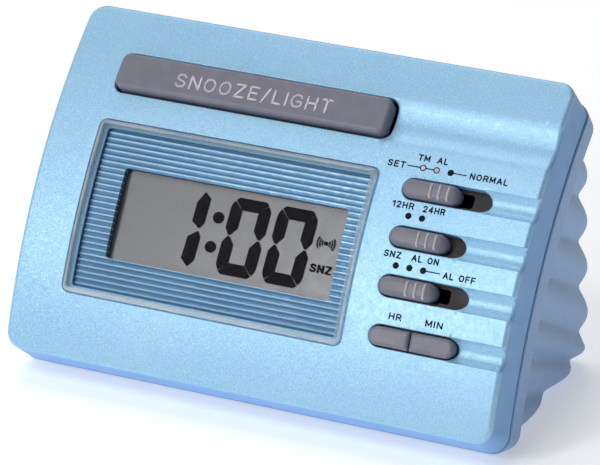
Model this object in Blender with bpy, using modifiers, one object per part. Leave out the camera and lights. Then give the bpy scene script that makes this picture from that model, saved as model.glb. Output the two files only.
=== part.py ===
"""Desk alarm clock with a curved, leaning face and a ribbed back case, as separate pieces.

Metres, +Z up, the face looks towards -Y, and the origin lies under the middle of the clock on
the surface that it stands on. Dimensions below are in millimetres and are scaled as meshes are made.
"""

import math

import bmesh
import bpy
from mathutils import Matrix, Vector

MM = 0.001
GAP = 0.3

# The face is part of a cylinder along X. U runs across it, S runs up its arc, H stands out of it.
FACE_RADIUS = 120.0
FACE_AXIS_Y = 84.99
FACE_AXIS_Z = -24.9
FACE_START = math.radians(15.5)
FACE_HALF_WIDTH = 55.0
FACE_HEIGHT = 76.5
FACE_CORNER = 3.5
FACE_FILLET = 0.9
BEND_STEP = 6.375

# Front case: a shell that flares towards its open rear edge.
SKIN = 2.0
WALL = 1.8
SEAM_H = -8.4
SIDE_FLARE = 0.7
BOTTOM_FLARE = 3.2

# Back case: a flange behind the seam, then a body of rounded ribs that run front to back.
FLANGE_H = -14.0
FLANGE_GROWTH = 0.3
BODY_HALF_WIDTH = 53.6
BODY_TAPER = 0.045
BODY_CORNER = 3.5
RIB_PITCH = 8.85
RIB_FIRST = 2.9
RIB_DEPTH = 1.8
VALLEY_SOFTNESS = 0.03
ROWS_PER_RIB = 6
RIB_FAN_END = math.radians(28.0)
BASE_Z = 1.2
REAR_Y = 29.93
REAR_START_Z = 14.0
REAR_LEAN = 0.16
BASE_BLEND = 12.0
BODY_WALL = 2.2

# Display
LENS = (-43.4, 19.8, 14.1, 50.7)
LENS_LEDGE = 1.2
LENS_SEAT_H = -1.4
LENS_TOP = 0.9
LCD_WINDOW = (-36.2, 14.9, 22.3, 41.8)
LCD_GLASS_H = -5.35
BOARD_STATION = 32.0
BOARD_TOP = -8.5
BOARD_THICKNESS = 1.6

# Controls, as left end, right end and height up the face
SNOOZE_SLOT = (-43.4, 19.4, 57.1, 66.2)
SLOT_HEIGHT = 4.6
SWITCHES = (
    ("time_set", 25.8, 44.9, 47.95),
    ("hour_mode", 25.8, 41.9, 37.85),
    ("alarm", 25.8, 44.9, 27.8),
)
KEY_SLOT = (25.8, 44.9, 17.6)
KEY_SPLIT = 35.0
KNOB_LENGTH = 12.4
KNOB_WIDTH = 3.9
KNOB_BOTTOM = -1.8
KNOB_SHOULDER = 0.9
KNOB_TOP = 1.5
RIDGE_PITCH = 1.9
SWITCH_PLATE = (23.2, 46.4, 13.0, 51.5)
SWITCH_PLATE_BACK = -3.1
KEY_BOTTOM = -1.4
GROOVE_HALF = 2.5
GROOVE_DEPTH = 1.5
CHANNEL_HALF = 4.8
CHANNEL_DEPTH = 1.5

# Fasteners, feet and battery
SCREW_U = 47.5
SCREW_STATIONS = (("lower", 6.5), ("upper", 66.0))
TOWER_RADIUS = 4.2
HEAD_RADIUS = 2.4
SHANK_RADIUS = 1.1
BOARD_SCREWS = ((-48.5, -13.0), (49.2, -9.8), (-48.5, 22.0), (49.2, 22.0))
FOOT_RADIUS = 4.0
FOOT_PLACES = ((-41.0, -12.0), (41.0, -12.0), (-40.0, 13.0), (40.0, 13.0))
BATTERY_RADIUS = 7.1
BATTERY_LENGTH = 50.0
BATTERY_Z = 24.5
TRAY_HALF_LENGTH = 29.5
TRAY_HALF_HEIGHT = 9.0
TRAY_DEPTH = 19.5
DOOR_THICKNESS = 3.3


# ---------------------------------------------------------------- scene, materials and objects

def clear_scene():
    for item in list(bpy.data.objects):
        bpy.data.objects.remove(item, do_unlink=True)


def new_collection(name):
    group = bpy.data.collections.new(name)
    bpy.context.scene.collection.children.link(group)
    return group


def new_material(name, colour, roughness, metallic=0.0, alpha=1.0):
    mat = bpy.data.materials.new(name)
    mat.use_nodes = True
    shader = mat.node_tree.nodes["Principled BSDF"]
    shader.inputs["Base Color"].default_value = (*colour, 1.0)
    shader.inputs["Roughness"].default_value = roughness
    shader.inputs["Metallic"].default_value = metallic
    shader.inputs["Alpha"].default_value = alpha
    return mat


def add_object(name, bm, matrix=None, cutter=False):
    """Turns a bmesh in millimetres into an object; matrix places it, in metres."""
    bmesh.ops.recalc_face_normals(bm, faces=bm.faces)
    bmesh.ops.scale(bm, vec=(MM, MM, MM), verts=bm.verts)
    mesh = bpy.data.meshes.new(name)
    bm.to_mesh(mesh)
    bm.free()
    item = bpy.data.objects.new(name, mesh)
    if matrix is not None:
        item.matrix_world = matrix
    if cutter:
        CUTTERS.objects.link(item)
        item.hide_render = True
        item.display_type = "WIRE"
    else:
        PARTS.objects.link(item)
    return item


def paint(item, mat, smooth_angle=30.0):
    item.data.materials.clear()
    item.data.materials.append(mat)
    item.data.shade_smooth()
    item.data.set_sharp_from_angle(angle=math.radians(smooth_angle))
    return item


def boolean(item, tool, operation="DIFFERENCE"):
    step = item.modifiers.new(tool.name, "BOOLEAN")
    step.object = tool
    step.operation = operation
    step.solver = "EXACT"


def apply_modifiers(item):
    """Replaces the object's mesh with the one its modifiers make."""
    bpy.context.view_layer.update()
    depsgraph = bpy.context.evaluated_depsgraph_get()
    mesh = bpy.data.meshes.new_from_object(item.evaluated_get(depsgraph))
    item.modifiers.clear()
    item.data = mesh


# ---------------------------------------------------------------- shapes

def outline(left, right, low, high, radius, steps=4):
    """Rounded rectangle as a ring of points, anticlockwise."""
    corners = (
        (right - radius, low + radius, -90),
        (right - radius, high - radius, 0),
        (left + radius, high - radius, 90),
        (left + radius, low + radius, 180),
    )
    ring = []
    for x, y, start in corners:
        for step in range(steps + 1):
            angle = math.radians(start + 90.0 * step / steps)
            ring.append((x + radius * math.cos(angle), y + radius * math.sin(angle)))
    return ring


def loft(levels):
    """Closed solid through rings of the same count, each given with its height."""
    bm = bmesh.new()
    rings = [[bm.verts.new((x, y, z)) for x, y in ring] for ring, z in levels]
    for below, above in zip(rings, rings[1:]):
        for i in range(len(below)):
            j = (i + 1) % len(below)
            bm.faces.new((below[i], below[j], above[j], above[i]))
    bm.faces.new(list(reversed(rings[0])))
    bm.faces.new(rings[-1])
    return bm


def slab(left, right, low, high, radius, bottom, top, steps=4):
    ring = outline(left, right, low, high, radius, steps)
    return loft([(ring, bottom), (ring, top)])


def box(size, centre):
    bm = bmesh.new()
    place = Matrix.Translation(centre) @ Matrix.Diagonal((*size, 1.0))
    bmesh.ops.create_cube(bm, size=1.0, matrix=place)
    return bm


def cylinder(radius, low, high, segments=20, centre=(0.0, 0.0)):
    bm = bmesh.new()
    place = Matrix.Translation((centre[0], centre[1], (low + high) / 2))
    bmesh.ops.create_cone(bm, cap_ends=True, segments=segments, radius1=radius, radius2=radius,
                          depth=high - low, matrix=place)
    return bm


def turned(name, profile, matrix, steps=16):
    """Turned solid: the profile starts and ends on the axis and runs top to bottom at +X."""
    mesh = bpy.data.meshes.new(name)
    points = [(x * MM, 0.0, z * MM) for x, z in profile]
    edges = [(i, i + 1) for i in range(len(points) - 1)]
    mesh.from_pydata(points, edges, [])
    item = bpy.data.objects.new(name, mesh)
    item.matrix_world = matrix
    PARTS.objects.link(item)
    turn = item.modifiers.new("turn", "SCREW")
    turn.axis = "Z"
    turn.steps = steps
    turn.render_steps = steps
    turn.use_merge_vertices = True
    turn.merge_threshold = 0.00002
    turn.use_smooth_shade = True
    return item


def on_face(u, s, h):
    """Point at U across, S up and H out of the curved face, in millimetres."""
    angle = FACE_START + s / FACE_RADIUS
    reach = FACE_RADIUS + h
    return Vector((u, FACE_AXIS_Y - reach * math.cos(angle), FACE_AXIS_Z + reach * math.sin(angle)))


def face_frame(u, s, h=0.0):
    """Matrix whose X runs across the face, Y up it and Z out of it, at one point."""
    lean = math.pi / 2 - FACE_START - s / FACE_RADIUS
    return Matrix.Translation(on_face(u, s, h) * MM) @ Matrix.Rotation(lean, 4, "X")


def bend(item, shift=0.0):
    """Takes a flat shape in U, S, H, cuts it across at regular stations and wraps it on the face.

    A shift, in steps, keeps the cuts of a tool off those of the shape that it meets.
    """
    apply_modifiers(item)
    bm = bmesh.new()
    bm.from_mesh(item.data)
    for step in range(-1, math.ceil(FACE_HEIGHT / BEND_STEP) + 2):
        geometry = bm.verts[:] + bm.edges[:] + bm.faces[:]
        bmesh.ops.bisect_plane(bm, geom=geometry, plane_co=(0, (step + shift) * BEND_STEP * MM, 0),
                               plane_no=(0, 1, 0), dist=0.00001)
    for vert in bm.verts:
        vert.co = on_face(vert.co.x / MM, vert.co.y / MM, vert.co.z / MM) * MM
    bm.to_mesh(item.data)
    bm.free()
    return item


# ---------------------------------------------------------------- front case

def stadium(left, right, station, grow=0.0):
    half = SLOT_HEIGHT / 2 + grow
    return (left - grow, right + grow, station - half, station + half, half - 0.001)


def case_ring(grow, h):
    """Outline of the front case at depth h, grown by some millimetres all round."""
    back = max(0.0, -h - FACE_FILLET) / (-SEAM_H - FACE_FILLET)
    side = FACE_HALF_WIDTH + SIDE_FLARE * back + grow
    low = -BOTTOM_FLARE * back - grow
    high = FACE_HEIGHT + SIDE_FLARE * back + grow
    return outline(-side, side, low, high, FACE_CORNER + back + min(grow, 0.0) * 0.5, 5)


def add_face_cutters(item):
    shapes = {
        "cut_snooze": slab(*SNOOZE_SLOT, 2.0, -5, 2),
        "cut_lens_seat": slab(LENS[0] - GAP, LENS[1] + GAP, LENS[2] - GAP, LENS[3] + GAP,
                              1.6, LENS_SEAT_H, 2),
        "cut_lens_hole": slab(LENS[0] + LENS_LEDGE, LENS[1] - LENS_LEDGE, LENS[2] + LENS_LEDGE,
                              LENS[3] - LENS_LEDGE, 0.8, -5, 2),
        "cut_key_slot": slab(*stadium(*KEY_SLOT), -5, 2),
    }
    rows = [(name, right, station) for name, _left, right, station in SWITCHES]
    for name, left, right, station in SWITCHES:
        shapes["cut_slot_" + name] = slab(*stadium(left, right, station), -5, 2)
    rows.append(("keys", KEY_SLOT[1], KEY_SLOT[2]))
    for name, tool in shapes.items():
        boolean(item, add_object(name, tool, cutter=True))
    for name, right, station in rows:
        add_groove(item, "cut_groove_" + name, right - 2.0, station, GROOVE_HALF, GROOVE_DEPTH)
    middle = (SNOOZE_SLOT[2] + SNOOZE_SLOT[3]) / 2
    add_groove(item, "cut_channel", SNOOZE_SLOT[1] - 0.5, middle, CHANNEL_HALF, CHANNEL_DEPTH)


def add_groove(item, name, start, station, half, depth):
    """Round-bottomed channel that leaves the face through its right edge."""
    radius = (half * half + depth * depth) / (2 * depth)
    length = FACE_HALF_WIDTH + 3.0 - start
    place = (Matrix.Translation(Vector((start, station, radius - depth)) * MM)
             @ Matrix.Rotation(math.pi / 2, 4, "Y"))
    tool = add_object(name, cylinder(radius, 0.0, length, 24), place, cutter=True)
    boolean(item, tool)


def screw_axis(u, station):
    """Frame of a case screw: Z runs from the seam backwards, in the ribs' direction."""
    turn = Matrix.Rotation(-(math.pi / 2 + RIB_FAN_END), 4, "X")
    return Matrix.Translation(on_face(u, station, SEAM_H) * MM) @ turn


def screw_places():
    for row, station in SCREW_STATIONS:
        for side, u in (("left", -SCREW_U), ("right", SCREW_U)):
            yield f"{row}_{side}", screw_axis(u, station)


def make_front_case(mat):
    levels = [(case_ring(0.0, SEAM_H), SEAM_H), (case_ring(0.0, -FACE_FILLET), -FACE_FILLET),
              (case_ring(-FACE_FILLET, 0.0), 0.0)]
    case = add_object("front_case", loft(levels))
    low = SEAM_H - 1.5
    hollow = loft([(case_ring(-WALL, low), low), (case_ring(-WALL, -SKIN), -SKIN)])
    boolean(case, add_object("cut_front_hollow", hollow, cutter=True))
    add_face_cutters(case)
    bend(case)
    board = face_frame(0.0, BOARD_STATION)
    for index, (u, y) in enumerate(BOARD_SCREWS):
        sag = y * y / (2 * FACE_RADIUS)
        post = cylinder(2.4, BOARD_TOP + GAP, -1.0 - sag, 16, (u, y))
        hole = cylinder(1.4, BOARD_TOP - 2.0, -2.6 - sag, 12, (u, y))
        boolean(case, add_object(f"add_board_post_{index}", post, board, cutter=True), "UNION")
        boolean(case, add_object(f"cut_board_post_{index}", hole, board, cutter=True))
    for place, frame in screw_places():
        post = cylinder(2.9, -7.0, -0.2, 16)
        hole = cylinder(1.4, -5.6, 3.0, 12)
        boolean(case, add_object("add_case_post_" + place, post, frame, cutter=True), "UNION")
        boolean(case, add_object("cut_case_post_" + place, hole, frame, cutter=True))
    paint(case, mat)


# ---------------------------------------------------------------- back case

def rib_line(v):
    """Start point and direction, in the YZ plane, of the line that a rib follows front to back.

    V is measured up the rear edge of the flange. Low ribs fan out square to the face, and the
    others are parallel.
    """
    reach = FACE_RADIUS + FLANGE_H
    fan = reach * (RIB_FAN_END - FACE_START)
    if v < fan:
        angle = FACE_START + v / reach
        slope = angle
    else:
        angle = RIB_FAN_END + math.asin((v - fan) / reach)
        slope = RIB_FAN_END
    start = (FACE_AXIS_Y - reach * math.cos(angle), FACE_AXIS_Z + reach * math.sin(angle))
    return start, slope


def rib_length(v):
    """Distance along a rib's line from the flange to the base or the rear wall, whichever is nearer."""
    (y, z), slope = rib_line(v)
    to_base = (z - BASE_Z) / math.sin(slope)
    to_rear = ((REAR_Y - REAR_LEAN * (z - REAR_START_Z) - y)
               / (math.cos(slope) - REAR_LEAN * math.sin(slope)))
    blend = BASE_BLEND
    mix = max(blend - abs(to_base - to_rear), 0.0)
    return min(to_base, to_rear) - mix * mix / (4 * blend)


def rib_wave(v):
    """Depth of the surface below the rib crests: round crests and tight, rounded valleys."""
    swing = math.cos(math.pi * (v - RIB_FIRST) / RIB_PITCH)
    return RIB_DEPTH * (1.0 - math.sqrt(swing ** 2 + VALLEY_SOFTNESS))


def body_row(v, inset, front, steps=4):
    """U-shaped row of points round the body along one rib line, from right to left."""
    (y, z), slope = rib_line(v)
    length = rib_length(v) - inset
    corner = min(BODY_CORNER, 0.7 * length)
    half = BODY_HALF_WIDTH - inset
    path = [(half - BODY_TAPER * front, front)]
    for step in range(steps + 1):
        angle = math.pi / 2 * step / steps
        side = half - BODY_TAPER * length - corner * (1 - math.cos(angle))
        path.append((side, length - corner * (1 - math.sin(angle))))
    path += [(-side, along) for side, along in reversed(path)]
    return [(side, y + along * math.cos(slope), z - along * math.sin(slope))
            for side, along in path]


def body_loft(stations, inset, front, waves):
    """Closed solid through the body's rows; the open ends are capped."""
    bm = bmesh.new()
    rows = []
    for v in stations:
        depth = inset + (rib_wave(v) if waves else RIB_DEPTH)
        rows.append([bm.verts.new(point) for point in body_row(v, depth, front)])
    for below, above in zip(rows, rows[1:]):
        for i in range(len(below) - 1):
            bm.faces.new((below[i], below[i + 1], above[i + 1], above[i]))
        bm.faces.new((below[-1], below[0], above[0], above[-1]))
    bm.faces.new(list(reversed(rows[0])))
    bm.faces.new(rows[-1])
    return bm


def body_top():
    reach = FACE_RADIUS + FLANGE_H
    end = FACE_START + FACE_HEIGHT / FACE_RADIUS
    return reach * (RIB_FAN_END - FACE_START) + reach * math.sin(end - RIB_FAN_END)


def spaced(low, high, count):
    return [low + (high - low) * i / count for i in range(count + 1)]


def rear_frame():
    """Frame on the rear wall at the battery: Z points out of the wall and Y down it."""
    y = REAR_Y - REAR_LEAN * (BATTERY_Z - REAR_START_Z)
    lean = math.atan(REAR_LEAN)
    turn = Matrix.Rotation(lean - math.pi / 2, 4, "X")
    return Matrix.Translation(Vector((0.0, y, BATTERY_Z)) * MM) @ turn


def make_back_case(mat):
    ribs = int((body_top() - RIB_FIRST) / RIB_PITCH) + 1
    step = RIB_PITCH / ROWS_PER_RIB
    stations = [v for v in (RIB_FIRST + step * i for i in range(-1, ROWS_PER_RIB * ribs + 3))
                if 0.6 < v < body_top() - 0.6]
    stations = [0.4] + stations + [body_top() - 0.4]
    body = body_loft(stations, 0.0, -3.0, True)
    skin = add_object("back_body", body, cutter=True)
    apply_modifiers(skin)

    front = SEAM_H - GAP
    rings = [(case_ring(FLANGE_GROWTH, SEAM_H), h) for h in (FLANGE_H, front)]
    case = bend(add_object("back_case", loft(rings)))
    boolean(case, skin, "UNION")

    hollow = add_object("cut_back_hollow", body_loft(spaced(4.0, body_top() - 3.5, 9), BODY_WALL,
                                                     -2.0, False), cutter=True)
    rings = [(case_ring(-2.0, SEAM_H), h) for h in (FLANGE_H + 1.0, front + 2.0)]
    inside = bend(add_object("cut_flange_hollow", loft(rings), cutter=True), 0.37)
    boolean(hollow, inside, "UNION")
    tray_frame = rear_frame()
    for place, frame in screw_places():
        tower = add_object("keep_tower_" + place, cylinder(TOWER_RADIUS, GAP, 60.0, 16), frame,
                           cutter=True)
        boolean(hollow, tower)
    tray = box((2 * TRAY_HALF_LENGTH + 4, 2 * TRAY_HALF_HEIGHT + 4, TRAY_DEPTH + 9),
               (0.0, 0.0, -TRAY_DEPTH / 2 + 2.5))
    boolean(hollow, add_object("keep_tray", tray, tray_frame, cutter=True))
    for index, (x, y) in enumerate(FOOT_PLACES):
        pad = cylinder(FOOT_RADIUS + 1.2, -GAP * 3, 3.0, 20, (x, y))
        boolean(hollow, add_object(f"keep_foot_pad_{index}", pad, cutter=True))
    for place, frame in screw_places():
        bore = cylinder(HEAD_RADIUS + 0.5, 4.0, 60.0, 16)
        hole = cylinder(SHANK_RADIUS + 0.4, -3.0, 6.0, 12)
        boolean(hollow, add_object("cut_bore_" + place, bore, frame, cutter=True), "UNION")
        boolean(hollow, add_object("cut_hole_" + place, hole, frame, cutter=True), "UNION")
    opening = box((2 * TRAY_HALF_LENGTH, 2 * TRAY_HALF_HEIGHT, TRAY_DEPTH + 6),
                  (0.0, 0.0, -TRAY_DEPTH / 2 + 3))
    boolean(hollow, add_object("cut_tray", opening, tray_frame, cutter=True), "UNION")
    for index, (x, y) in enumerate(FOOT_PLACES):
        pad = cylinder(FOOT_RADIUS + 1.0, BASE_Z, BASE_Z + 3.4, 20, (x, y))
        boolean(case, add_object(f"add_foot_pad_{index}", pad, cutter=True), "UNION")
    boolean(case, hollow)
    paint(case, mat)
    return skin


def make_battery_door(skin, mat):
    width = 2 * (TRAY_HALF_LENGTH - GAP)
    height = 2 * (TRAY_HALF_HEIGHT - GAP)
    door = add_object("battery_door", box((width, height, DOOR_THICKNESS + 4),
                                          (0.0, 0.0, -DOOR_THICKNESS / 2 + 2)), rear_frame())
    boolean(door, skin, "INTERSECT")
    paint(door, mat)


# ---------------------------------------------------------------- display

def make_display(mats):
    left, right, low, high = LENS
    levels = [(outline(left, right, low, high, 1.3), LENS_SEAT_H + GAP),
              (outline(left, right, low, high, 1.3), 0.2),
              (outline(left + 1.1, right - 1.1, low + 1.1, high - 1.1, 0.6), LENS_TOP)]
    lens = bend(add_object("lens", loft(levels)))
    paint(lens, mats["lens"], 20.0)

    mask = add_object("mask_plate", slab(left - 1.5, right + 1.5, low - 1.5, high + 1.5, 1.0,
                                         -3.5, -SKIN - GAP))
    boolean(mask, add_object("cut_lcd_window", slab(*LCD_WINDOW, 0.8, -6, 0), cutter=True))
    bend(mask)
    paint(mask, mats["mask"])

    frame = face_frame(0.0, BOARD_STATION)
    middle = (LCD_WINDOW[0] + LCD_WINDOW[1]) / 2
    width = LCD_WINDOW[1] - LCD_WINDOW[0] + 5
    glass = add_object("lcd_glass", box((width, 25.0, 1.5), (middle, -0.7, LCD_GLASS_H)), frame)
    paint(glass, mats["lcd"])
    light = add_object("backlight_panel", box((width - 1, 20.0, 0.7), (middle, 1.6, -6.8)), frame)
    paint(light, mats["backlight"])
    strip = add_object("zebra_strip", box((width - 6, 1.8, 1.7), (middle, -11.4, -7.3)), frame)
    paint(strip, mats["rubber"])
    lamp = add_object("lamp", box((2.0, 4.0, 2.0), (left - 0.4, 2.0, -7.2)), frame)
    paint(lamp, mats["lamp"])


# ---------------------------------------------------------------- controls

def make_switch_plate(mat):
    """Dark plate behind the slots, with a slit for each stem."""
    plate = add_object("switch_plate", slab(*SWITCH_PLATE, 1.5, SWITCH_PLATE_BACK, -SKIN - GAP))
    for name, left, right, station in SWITCHES:
        stem = left + KNOB_LENGTH / 2
        slit = slab(stem - 2.6, stem + 2.6 + right - left - KNOB_LENGTH - 2 * GAP,
                    station - 1.5, station + 1.5, 0.5, -5, 0, 1)
        boolean(plate, add_object("cut_slit_" + name, slit, cutter=True))
    for name, u in key_centres():
        hole = slab(u - 2.3, u + 2.3, KEY_SLOT[2] - 1.7, KEY_SLOT[2] + 1.7, 0.5, -5, 0, 1)
        boolean(plate, add_object("cut_stem_hole_" + name, hole, cutter=True))
    bend(plate)
    paint(plate, mat)


def make_knob(name, left, station, mats):
    """Slide knob: its origin is on the face at the knob's middle, X is the way it slides."""
    frame = face_frame(left + GAP + KNOB_LENGTH / 2, station)
    half, deep = KNOB_LENGTH / 2, KNOB_WIDTH / 2
    foot = outline(-half, half, -deep, deep, deep - 0.05)
    crown = outline(-half + 0.7, half - 0.7, -deep + 0.6, deep - 0.6, deep - 0.7)
    knob = add_object(name + "_knob", loft([(foot, KNOB_BOTTOM), (foot, KNOB_SHOULDER), (crown, KNOB_TOP)]),
                      frame)
    stem = add_object("add_stem_" + name, box((4.0, 2.2, 5.0), (0.0, 0.0, -3.8)), frame, cutter=True)
    boolean(knob, stem, "UNION")
    for index in range(3):
        ridge = slab(-0.5, 0.5, -1.7, 1.7, 0.3, 1.0, 2.0, 1)
        shift = Matrix.Translation((MM * (0.2 + RIDGE_PITCH * index), 0.0, 0.0))
        tool = add_object(f"add_ridge_{name}_{index}", ridge, frame @ shift, cutter=True)
        boolean(knob, tool, "UNION")
    paint(knob, mats["knob"])
    wiper = add_object(name + "_wiper", box((7.0, 3.0, 0.35), (0.0, 0.0, -6.8)), frame)
    paint(wiper, mats["brass"])


def key_centres():
    left, right, _station = KEY_SLOT
    return (("hour", (left + KEY_SPLIT) / 2), ("minute", (right + KEY_SPLIT) / 2))


def make_key(name, left, right, mats):
    """Press key with one round end; its origin is on the face, and it moves along -Z."""
    station = KEY_SLOT[2]
    middle = (left + right) / 2
    frame = face_frame(middle, station)
    deep = KNOB_WIDTH / 2
    outer = -1.0 if name == "hour" else 1.0
    half = (right - left) / 2

    def ring(inset):
        full = outline(-half + inset, half - inset, -deep + inset, deep - inset, deep - inset - 0.05)
        square = outline(-half + inset, half - inset, -deep + inset, deep - inset, 0.3)
        return [a if a[0] * outer > 0 else b for a, b in zip(full, square)]

    levels = [(ring(0.0), KEY_BOTTOM), (ring(0.0), 0.7), (ring(0.5), 1.2)]
    key = add_object(name + "_button", loft(levels), frame)
    stem = box((3.4, 2.2, 3.4), (0.0, 0.0, -2.7))
    boolean(key, add_object("add_key_stem_" + name, stem, frame, cutter=True), "UNION")
    paint(key, mats["knob"])
    contact = add_object(name + "_contact", cylinder(1.8, -6.9, -6.0, 12), frame)
    paint(contact, mats["rubber"])


def make_snooze(mats):
    left, right, low, high = SNOOZE_SLOT
    frame = face_frame((left + right) / 2, (low + high) / 2)
    half, deep = (right - left) / 2 - 0.6, (high - low) / 2 - 0.6
    foot = outline(-half, half, -deep, deep, 1.6)
    crown = outline(-half + 0.9, half - 0.9, -deep + 0.9, deep - 0.9, 0.9)
    button = add_object("snooze_button", loft([(foot, -1.6), (foot, 0.9), (crown, 1.7)]), frame)
    paint(button, mats["knob"])
    for side, x in (("left", -18.0), ("right", 18.0)):
        tip = add_object(f"snooze_plunger_{side}", cylinder(1.6, -2.9, -1.9, 14, (x, 0.0)), frame)
        paint(tip, mats["rubber"])
        pad = add_object(f"snooze_contact_{side}", cylinder(1.5, -4.5, -4.2, 14, (x, 0.0)), frame)
        paint(pad, mats["brass"])


def make_controls(mats):
    make_switch_plate(mats["black"])
    for name, left, _right, station in SWITCHES:
        make_knob(name, left, station, mats)
    left, right, _station = KEY_SLOT
    make_key("hour", left + GAP, KEY_SPLIT - GAP / 2, mats)
    make_key("minute", KEY_SPLIT + GAP / 2, right - GAP, mats)
    make_snooze(mats)


# ---------------------------------------------------------------- inside

def make_board(mats):
    frame = face_frame(0.0, BOARD_STATION)
    low = BOARD_TOP - BOARD_THICKNESS
    board = add_object("main_board", slab(-51.2, 51.8, -20.0, 25.0, 1.5, low, BOARD_TOP, 2), frame)
    tab = slab(-33.0, 9.0, 20.0, 33.0, 1.5, low, BOARD_TOP, 2)
    boolean(board, add_object("add_board_tab", tab, frame, cutter=True), "UNION")
    for index, (u, y) in enumerate(BOARD_SCREWS):
        hole = cylinder(SHANK_RADIUS + 0.3, low - 1, BOARD_TOP + 1, 12, (u, y))
        boolean(board, add_object(f"cut_board_hole_{index}", hole, frame, cutter=True))
        place = frame @ Matrix.Translation(Vector((u, y, low)) * MM) @ Matrix.Rotation(math.pi, 4, "X")
        make_screw(f"board_screw_{index + 1}", place @ Matrix.Translation((0, 0, GAP * MM)), 1.9, 1.2,
                   4.4, mats["steel"])
    paint(board, mats["board"])
    behind = low - GAP
    chip = add_object("clock_chip", slab(-8, 4, -6, 6, 1.5, behind - 1.4, behind), frame)
    paint(chip, mats["black"])
    can = cylinder(1.1, 0.0, 6.0, 12)
    lie = (frame @ Matrix.Translation(Vector((12.0, 0.0, behind - 1.1)) * MM)
           @ Matrix.Rotation(math.pi / 2, 4, "Y"))
    paint(add_object("quartz_crystal", can, lie), mats["steel"])
    buzzer = cylinder(8.0, behind - 3.2, behind, 28, (-30.0, 2.0))
    paint(add_object("buzzer", buzzer, frame), mats["black"])


def make_screw(name, matrix, head_radius, head_height, length, mat):
    """Pan-head screw with its head's underside at Z = 0 and its shank pointing to -Z."""
    profile = [(0.0, head_height), (head_radius * 0.7, head_height), (head_radius, head_height * 0.5),
               (head_radius, 0.0), (SHANK_RADIUS, 0.0), (SHANK_RADIUS, 1.0 - length), (0.0, -length)]
    paint(turned(name, profile, matrix, 14), mat)


def make_battery(mats):
    frame = rear_frame()
    depth = -DOOR_THICKNESS - 1.0 - BATTERY_RADIUS
    axis = (frame @ Matrix.Translation((0.0, 0.0, depth * MM)) @ Matrix.Rotation(math.pi / 2, 4, "Y"))
    half = BATTERY_LENGTH / 2
    profile = [(0.0, half), (2.7, half), (2.7, half - 1.2), (BATTERY_RADIUS - 0.6, half - 1.2),
               (BATTERY_RADIUS, half - 1.8), (BATTERY_RADIUS, -half + 0.5),
               (BATTERY_RADIUS - 0.5, -half), (0.0, -half)]
    paint(turned("battery", profile, axis, 24), mats["battery"])
    wall = TRAY_HALF_LENGTH - GAP
    plate = add_object("positive_contact", box((0.4, 10.0, 11.0), (wall - 0.2, 0.0, depth)), frame)
    paint(plate, mats["steel"])
    plate = add_object("negative_contact", box((0.4, 10.0, 11.0), (0.2 - wall, 0.0, depth)), frame)
    paint(plate, mats["steel"])
    make_spring(frame, depth, -wall + 0.4 + GAP, -half - GAP, mats["steel"])


def make_spring(frame, depth, start, end, mat):
    """Conical battery spring along X, wide against its plate and narrow against the battery."""
    turns, per_turn, wire = 3.0, 10, 0.35
    curve = bpy.data.curves.new("battery_spring", "CURVE")
    curve.dimensions = "3D"
    curve.bevel_depth = wire * MM
    curve.bevel_resolution = 1
    curve.use_fill_caps = True
    line = curve.splines.new("POLY")
    count = int(turns * per_turn)
    line.points.add(count)
    for i in range(count + 1):
        part = i / count
        angle = 2 * math.pi * turns * part
        radius = 4.4 - 2.0 * part
        x = start + wire + (end - start - 2 * wire) * part
        line.points[i].co = (x * MM, radius * math.cos(angle) * MM,
                             (depth + radius * math.sin(angle)) * MM, 1.0)
    item = bpy.data.objects.new("battery_spring", curve)
    item.matrix_world = frame
    PARTS.objects.link(item)
    curve.materials.append(mat)


def make_fixings(mats):
    for place, frame in screw_places():
        seat = frame @ Matrix.Translation((0.0, 0.0, (4.0 + GAP) * MM))
        make_screw("case_screw_" + place, seat, HEAD_RADIUS, 1.8, 9.4, mats["steel"])
    for (x, y), place in zip(FOOT_PLACES, ("front_left", "front_right", "rear_left", "rear_right")):
        foot = add_object("foot_" + place, cylinder(FOOT_RADIUS, 0.0, BASE_Z - GAP, 24, (x, y)))
        paint(foot, mats["rubber"])


def make_materials():
    return {
        "case": new_material("front_case_blue", (0.36, 0.62, 0.82), 0.38, 0.35),
        "back": new_material("back_case_blue", (0.23, 0.34, 0.53), 0.42, 0.25),
        "door": new_material("door_blue", (0.23, 0.34, 0.53), 0.42, 0.25),
        "lens": new_material("lens_clear", (0.9, 0.95, 1.0), 0.05, 0.0, 0.3),
        "mask": new_material("mask_blue", (0.08, 0.24, 0.46), 0.4),
        "lcd": new_material("lcd_grey", (0.27, 0.26, 0.24), 0.25),
        "backlight": new_material("backlight_green", (0.75, 0.85, 0.75), 0.5),
        "knob": new_material("knob_grey", (0.21, 0.19, 0.21), 0.45),
        "black": new_material("black_plastic", (0.02, 0.02, 0.02), 0.5),
        "rubber": new_material("dark_rubber", (0.04, 0.04, 0.04), 0.8),
        "brass": new_material("contact_brass", (0.75, 0.56, 0.25), 0.3, 1.0),
        "steel": new_material("plated_steel", (0.6, 0.6, 0.6), 0.3, 1.0),
        "board": new_material("board_green", (0.03, 0.2, 0.08), 0.5),
        "battery": new_material("battery_label", (0.1, 0.1, 0.12), 0.35, 0.4),
        "lamp": new_material("lamp_clear", (0.9, 0.9, 0.85), 0.2),
    }


clear_scene()
PARTS = new_collection("alarm_clock")
CUTTERS = new_collection("alarm_clock_cutters")
MATS = make_materials()
make_front_case(MATS["case"])
BODY_SKIN = make_back_case(MATS["back"])
make_battery_door(BODY_SKIN, MATS["door"])
make_display(MATS)
make_controls(MATS)
make_board(MATS)
make_battery(MATS)
make_fixings(MATS)
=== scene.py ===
"""Looks of a small desk alarm clock: a curved light-blue face on a ribbed blue-grey back."""

import math

import bmesh
import bpy
from mathutils import Matrix, Vector


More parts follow.
